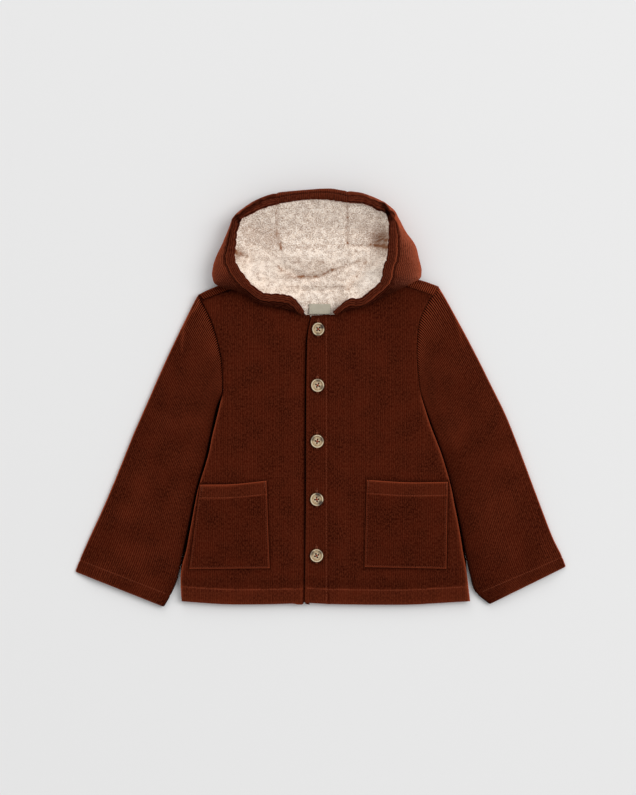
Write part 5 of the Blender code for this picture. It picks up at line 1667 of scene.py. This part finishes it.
def lining_height(x, y):
    """Height of the lining, and how far inside a curl each point lies.

    The height falls from the rim over a soft slope to the floor, with folds and curls on it.
    """
    near = distance_to(x, y, RIM_CURVE[:, :2])
    rim = 21.0 + 9.5 * ease(y, 125, 168)
    wide = 22 + 30 * ease(y, 185, 240)
    slope = (1 - np.clip(near / wide, 0, 1)) ** 1.8
    floor = 9.5 + 2.0 * ease(y, 150, 175) - 1.5 * (1 - ease(y, 138, 150))
    loose, curl, inside = teddy(x, y)
    z = floor + (rim - floor) * slope
    z = z + creased(x, y, LINING_FOLDS) + 0.8 * soft_noise(x, y, 16, 55) + CURL_TALL * loose * (curl - 0.4)
    top = np.interp(y, RIM_TOP[:, 0], RIM_TOP[:, 1])
    at_rim = np.exp(-near / 3.0)
    return np.minimum(z, top) * (1 - at_rim) + (top - 1.5 + 1.2 * curl) * at_rim, inside


def seam_groove(x, y):
    """The two seams of the centre strip, plain at the top and lost in the pile lower down."""
    strip = HOOD_TABLE[[WEST_SEAM, EAST_SEAM]]
    lift = np.zeros(np.shape(x))
    for row in strip:
        near = distance_to(x, y, np.array([row[0:2], row[6:8]]))
        lift -= 0.6 * np.exp(-((near / SEAM_HALF) ** 2)) * ease(y, 185, 205)
    return lift


def lining_shade(x, y):
    """Shade of the lining, from 1 in its hollows to -1 on its brightest curls."""
    total = spots(x, y, LINING_SHADES) - spots(x, y, LINING_LIGHTS)
    broken = 0.45 + 1.1 * ease(soft_noise(x, y, 2.9, 59), -0.1, 0.5)
    for crack in soft_lines(x, y, LINING_CRACKS):
        total = total + crack * broken
    # painted shade in streaks in the hollow at the right
    streaks = np.exp(-(((x - 80) / 14) ** 2) - ((y - 204) / 14) ** 2)
    total = total + 0.45 * streaks * soft_noise(x + 0.5 * y, 3.0 * y - x, 6.0, 60)
    # painted highlight along the rim, on its lower part
    at_rim = np.exp(-distance_to(x, y, RIM_CURVE[:, :2]) / 1.8) * (1 - ease(y, 185, 215))
    return np.clip(total - 0.5 * at_rim, -1, 1)


def lining_panel(node, grid, curl):
    """Panel of teddy with its curls, its shade and its smooth parts."""
    x, y = grid[..., 0], grid[..., 1]
    facts = {"rib": curl, "painted_light": lining_shade(x, y), "loose": smoothness(x, y)}
    piece = closed_panel(node + "_cloth", grid, CORD + GAP, TEDDY, facts, stacked(x, y))
    dressed(piece, node)


def make_lining():
    """Three panels from the rim down to the neck seam, tucked under the rim at their outer edge."""
    last = len(HOOD_TABLE) - 3
    for node, first, end in (
        ("hood_lining_side_right", 2, WEST_SEAM),
        ("hood_lining_center", WEST_SEAM, EAST_SEAM),
        ("hood_lining_side_left", EAST_SEAM, last),
    ):
        at = even_rows(first, end, 1.15)
        rows = hood_rows(at)
        rim, out, root = rows[:, 0:2], rows[:, 2:4], rows[:, 6:8]
        along = (out - rim) / lengths(out - rim)
        rim = rim + along * (rim_ripple(rows)[:, None])
        lying = 1 - np.interp(at, (6.0, 7.2, 27.8, 29.0), (0, 1, 1, 0))[:, None]
        end_point = root * (1 - lying) + (rim - along * LINING_SHOWN) * lying
        inward = (end_point - rim) / lengths(end_point - rim)
        end_point = end_point + inward * LINING_TAIL * (1 - lying)
        long = lengths(end_point - rim)
        inside = np.linspace(0, 1, 100)[None, :]
        plan = rim[:, None] + (end_point - rim)[:, None] * inside[..., None]
        tuck = rim[:, None] + along[:, None] * np.array((4.5, 3.0, 1.5))[None, :, None]
        tucked_z = (rows[:, 4] - RIM_DROP - CORD - 1.2)[:, None] - np.array((4.0, 1.2, 0.4))[None, :]
        x, y = plan[..., 0], plan[..., 1]
        z, curl = lining_height(x, y)
        z = z + seam_groove(x, y)
        z = z - (0.5 + 3.5 * (1 - lying)) * (1 - ease((1 - inside) * long, 0.5, 5.0))
        x = np.concatenate([tuck[..., 0], x], axis=1)
        y = np.concatenate([tuck[..., 1], y], axis=1)
        z = np.concatenate([tucked_z, z], axis=1)
        curl = np.concatenate([np.full(tucked_z.shape, 0.3), curl], axis=1)
        lining_panel(node, stacked(x, y, np.maximum(z, 5.0)), curl)


NECK_SPREAD = ((98.0, 46.0), (112.0, 66.0), (128.0, 80.0), (150.0, 90.0), (172.0, 84.0))  # y, half width
NECK_SEAM = HOOD_TABLE[7:29, 6:8]  # line where the hood's lining is sewn to the neck's
# y, half width above the fronts
NECK_SHOWN = np.array(((98.0, 40.0), (126.0, 46.0), (134.0, 58.0), (160.0, 74.0), (172.0, 70.0)))
NECK_PRESSED = 5.9  # height of the neck lining where the fronts lie on it
NECK_OUTER = 8.0  # most height it keeps further out than it shows


def make_neck_lining():
    """Teddy inside the neck: pressed flat under the fronts, running in under the hood's lining."""
    spread = np.array(NECK_SPREAD)
    rows = np.arange(spread[0, 0], spread[-1, 0], 1.15)
    half = np.interp(rows, spread[:, 0], spread[:, 1])
    x = half[:, None] * np.linspace(-1, 1, 150)
    y = rows[:, None] + 0 * x
    neck = np.where(x < EAST.corner[3][0], WEST.top(np.minimum(x, -12.0)), EAST.top(x))
    free = ease(y - neck, 1.0, 9.0)
    z, curl = lining_height(x, y)
    z = z - 0.3
    z = NECK_PRESSED + (z - NECK_PRESSED) * free
    z = z - 3.0 * ease(y - np.interp(x, NECK_SEAM[:, 0], NECK_SEAM[:, 1]), 0.0, 5.0) * free
    outside = ease(np.abs(x) - np.interp(y, NECK_SHOWN[:, 0], NECK_SHOWN[:, 1]), 0, 6)
    z = z - (z - NECK_OUTER) * outside * (z > NECK_OUTER)
    lining_panel("neck_lining", stacked(x, y, np.maximum(z, 3.0)), curl)


# --- buttons, buttonholes and label -----------------------------------------------------------------
BUTTONS = [f"button_{k}" for k in range(1, 6)]
# turned profile of a button from the middle of its face, round the rim, to the middle of its back
BUTTON_PROFILE = (
    # radius, height, as shares of the button's
    (0.0, 0.60), (0.14, 0.60), (0.20, 0.60), (0.24, 0.60), (0.28, 0.60), (0.32, 0.60), (0.36, 0.60),
    (0.42, 0.60), (0.50, 0.60), (0.58, 0.60), (0.66, 0.61), (0.70, 0.60), (0.735, 0.60), (0.765, 0.66),
    (0.79, 0.84), (0.83, 0.97), (0.88, 1.0), (0.93, 0.96), (0.975, 0.84), (1.0, 0.66), (0.985, 0.46),
    (0.93, 0.30), (0.75, 0.12), (0.4, 0.02), (0.0, 0.0),
)
BUTTON_HOLE = 1.15  # radius of a hole
BUTTON_HOLE_AT = 1.7  # how far it lies from the button's middle, in x and in y
BUTTON_STEPS = 72  # points round a button
BUTTON_FACE = 10  # first rows of the profile, which the holes may reach
BUTTON_UPPER = 20  # first rows that can be seen from above
# dark clouds in the horn of each button: x, y and size as shares of its radius, strength
BUTTON_CLOUDS = {
    "button_1": ((0.65, 0.42, 0.42, 1.0), (0.0, -0.80, 0.34, 0.6)),
    "button_2": ((0.10, 0.86, 0.44, 0.6), (0.62, -0.36, 0.36, 0.6)),
    "button_3": ((-0.72, 0.44, 0.42, 0.65), (0.72, 0.38, 0.42, 0.7)),
    "button_4": ((0.20, 0.82, 0.46, 0.9), (0.58, -0.62, 0.46, 1.0)),
    "button_5": ((-0.76, 0.40, 0.42, 0.7), (0.62, 0.52, 0.36, 0.6)),
}
BUTTON_THREAD_REACH = 1.25  # the thread goes down at the inner side of each hole
BUTTON_SIZE = 0.955  # radius of a button, as a share of the space kept for it
BUTTON_TIP = {"button_1": 0.16}  # slope of a button that lies tipped to the west


def make_button(node, turn):
    """A turned button, its profile carried round a circle, with four pits for the thread."""
    low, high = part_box(node)
    middle = (low + high) / 2 / MM
    r, h, base = (high.x - low.x) / 2 / MM, (high.z - low.z) / MM, low.z / MM
    profile = np.array(BUTTON_PROFILE)
    angle = np.linspace(0, 2 * math.pi, BUTTON_STEPS, endpoint=False)
    share = np.broadcast_to(profile[:, 0][:, None], (len(profile), BUTTON_STEPS))
    far = share * r * BUTTON_SIZE
    x, y = far * np.cos(angle), far * np.sin(angle)
    z = np.broadcast_to(profile[:, 1][:, None] * h, x.shape).copy()
    hole = np.hypot(np.abs(x) - BUTTON_HOLE_AT, np.abs(y) - BUTTON_HOLE_AT)
    face = (np.arange(len(profile)) < BUTTON_FACE)[:, None]
    pit = face * (1 - ease(hole, BUTTON_HOLE * 0.8, BUTTON_HOLE * 1.15))
    z -= 0.5 * h * pit
    over = (np.arange(len(profile)) < BUTTON_UPPER)[:, None]
    # painted shade in the groove inside the rim and on the outer bevel
    ring = 0.45 * over * np.exp(-(((share - 0.745) / 0.03) ** 2)) + 0.35 * over * ease(share, 0.95, 1.0)
    # painted highlight along the top of the rim, and a lighter middle
    bright = over * np.maximum(np.exp(-(((share - 0.87) / 0.05) ** 2)), 0.55 * (1 - ease(share, 0.3, 0.55)))
    c, s = math.cos(turn), math.sin(turn)
    plan = stacked(c * x - s * y, s * x + c * y)
    cloud = np.zeros(x.shape)
    for cx, cy, size, strength in BUTTON_CLOUDS[node]:
        away = np.hypot(plan[..., 0] / r - cx, plan[..., 1] / r - cy) / size
        ragged = away + 0.22 * soft_noise(plan[..., 0], plan[..., 1] + 40 * turn, 2.2, 71)
        cloud = np.maximum(cloud, strength * (1 - ease(ragged, 0.45, 1.35)))
    tip = BUTTON_TIP.get(node, 0.0)
    narrow = 1 - 0.45 * tip
    east, north = plan[..., 0], plan[..., 1]
    points = stacked(middle.x + narrow * east, middle.y + north, base + z + tip * east)
    points[..., 2] += tip * r * 0.6
    faces = grid_quads(len(profile), BUTTON_STEPS, wrap=True)[:, ::-1].tolist()
    # pit also carries the painted shade in the holes
    facts = {"painted_light": np.clip(pit + ring, 0, 1), "rib": cloud, "loose": bright}
    piece = new_piece(node + "_turned", points.reshape(-1, 3), faces, HORN, facts, plan)
    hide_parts(node)
    seat = base + 0.6 * h
    for k, (ax, ay) in enumerate(((1, 1), (1, -1))):
        for off in (-0.32, 0.32):
            t = np.linspace(-1, 1, 9)
            px = BUTTON_THREAD_REACH * ax * t - off * ay * 0.7
            py = BUTTON_THREAD_REACH * ay * t + off * ax * 0.7
            pz = seat + tip * r * 0.6 - 0.7 + (1.25 + 0.45 * k) * np.sqrt(np.maximum(0, 1 - t**4))
            path = stacked(middle.x + c * px - s * py, middle.y + s * px + c * py, pz)
            cord_along(f"{node}_thread_{k}{int(off > 0)}", path, 0.33, BUTTON_THREAD)


def cord_along(name, path, radius, thread, around=6):
    """A round thread carried along a path, with closed ends."""
    along = np.gradient(path, axis=0)
    along /= lengths(along)
    side = np.cross(along, (0, 0, 1.0))
    side /= np.maximum(lengths(side), 1e-6)
    up = np.cross(side, along)
    points = (path[:, None] + radius * ring_round(side, up, around)).reshape(-1, 3)
    faces = thread_faces(1, len(path), around)
    piece = new_piece(name, points, faces, thread, {}, np.zeros((len(points), 2)))
    return piece


def make_buttonhole(node, seed):
    """Vertical buttonhole: two close rows of bar stitches, a bar at each end, and a loose thread."""
    low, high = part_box(node)
    x0, y0 = (low.x + high.x) / 2 / MM, (low.y + high.y) / 2 / MM
    rng = np.random.RandomState(seed)
    y = np.arange(y0 - 9.5, y0 + 10.6, 0.55)
    paths = []
    for side in (-1, 1):
        for at in y:
            paths.append([(x0 + side * 0.35, at), (x0 + side * 1.5, at + rng.uniform(-0.1, 0.1))])
    for end in (y0 - 10.0, y0 + 11.0):
        for k in range(3):
            paths.append([(x0 - 1.5, end + 0.4 * k), (x0 + 1.5, end + 0.4 * k)])
    points = []
    for a, b in paths:
        t = np.linspace(0, 1, 3)
        px, py = a[0] + (b[0] - a[0]) * t, a[1] + (b[1] - a[1]) * t
        points.append(stacked(px, py, east_cloth(px, py) + 0.35 + 0.35 * np.sin(math.pi * t)))
    bars(node + "_hole", np.array(points), 0.26, SEAM_THREAD)
    t = np.linspace(0, 1, 8)
    bend = rng.uniform(-1.5, 1.5)
    px, py = x0 + bend * t**2, y0 + 11.5 + 3.2 * t
    path = stacked(px, py, east_cloth(px, py) + 0.9)
    cord_along(node + "_thread_end", path, 0.3, SEAM_THREAD, 5)


def bars(name, paths, radius, thread, around=4):
    """Many short threads as one mesh."""
    along = paths[:, -1] - paths[:, 0]
    along /= lengths(along)
    side = np.cross(along, (0, 0, 1.0))
    up = np.cross(side, along)
    ring = ring_round(side, up, around)
    points = (paths[:, :, None] + radius * ring[:, None]).reshape(-1, 3)
    faces = thread_faces(len(paths), paths.shape[1], around)
    piece = new_piece(name, points, faces, thread, {}, np.zeros((len(points), 2)))
    return piece


def make_label():
    """A blank strip of woven tape, folded at its ends, on the teddy of the neck."""
    low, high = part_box("neck_label")
    x = np.linspace(low.x / MM, high.x / MM, 40)
    y = np.linspace(low.y / MM, high.y / MM, 16)
    x, y = np.meshgrid(x, y)
    ends = np.minimum(x - x.min(), x.max() - x)
    z = 10.2 + 0.05 * (y - y.min()) + 0.35 * soft_noise(x, y, 9, 61) - 0.5 * (1 - dome(ends / 1.0))
    z = np.minimum(z, 10.9)
    grid = stacked(x, y + 0.5 * soft_noise(x, 0 * x, 12, 62), z)
    facts = {"rib": 0 * x, "painted_light": 0 * x}
    piece = closed_panel("neck_label_tape", grid, 9.6, TAPE, facts, stacked(x, y))
    dressed(piece, "neck_label")


# --- stage, in metres -------------------------------------------------------------------------------
FLOOR_HALF = 6.0
FLOOR_BELOW = 0.0002  # how far the floor lies below the coat
SKY_STRENGTH = 0.56
CAMERA_HIGH = 8.0
VIEW_TALL = 1.0335  # height of what the camera sees


def make_stage():
    """Pale floor, soft light from the upper right, and a camera straight above."""
    half, low = FLOOR_HALF, -FLOOR_BELOW
    mesh = bpy.data.meshes.new("floor")
    corners = [(-half, -half, low), (half, -half, low), (half, half, low), (-half, half, low)]
    mesh.from_pydata(corners, [], [(0, 1, 2, 3)])
    floor = placed("floor", mesh)
    paper, _, _ = finish("paper", (0.78, 0.78, 0.78), 0.9)
    mesh.materials.append(paper)
    for name, place, wide, watts in (
        ("key", (6.7, 3.1, 9.5), 8.0, 760.0),
        ("top", (-1.7, 9.7, 6.9), 7.0, 300.0),
    ):
        lamp = bpy.data.lights.new(name, "AREA")
        lamp.size, lamp.energy = wide, watts
        light = placed(name, lamp)
        light.location = place
        aim = placed(name + "_aim")
        track = light.constraints.new("TRACK_TO")
        track.target, track.track_axis, track.up_axis = aim, "TRACK_NEGATIVE_Z", "UP_Y"
    world = bpy.data.worlds.new("studio")
    world.use_nodes = True
    sky = world.node_tree.nodes["Background"].inputs
    sky[0].default_value = (1.0, 1.0, 1.0, 1)
    sky[1].default_value = SKY_STRENGTH
    bpy.context.scene.world = world
    bpy.context.scene.view_settings.view_transform = "Standard"
    camera = bpy.data.cameras.new("camera")
    camera.sensor_width = 36.0
    camera.lens = camera.sensor_width * CAMERA_HIGH / VIEW_TALL
    eye = placed("camera", camera)
    eye.location = (-0.00325, 0.00065, CAMERA_HIGH)
    bpy.context.scene.camera = eye


make_stage()
make_back()
make_front("front_left", EAST, east_cloth)
make_front("front_right", WEST, west_cloth, right_limit=-8.0)
make_pocket("pocket_left")
make_pocket("pocket_right")
make_body_stitches()
for sleeve in SLEEVES:
    make_sleeve(sleeve)
make_hood()
make_lining()
make_neck_lining()
for number, button in enumerate(BUTTONS):
    make_button(button, 0.3 * number)
    make_buttonhole(button, 70 + number)
make_label()
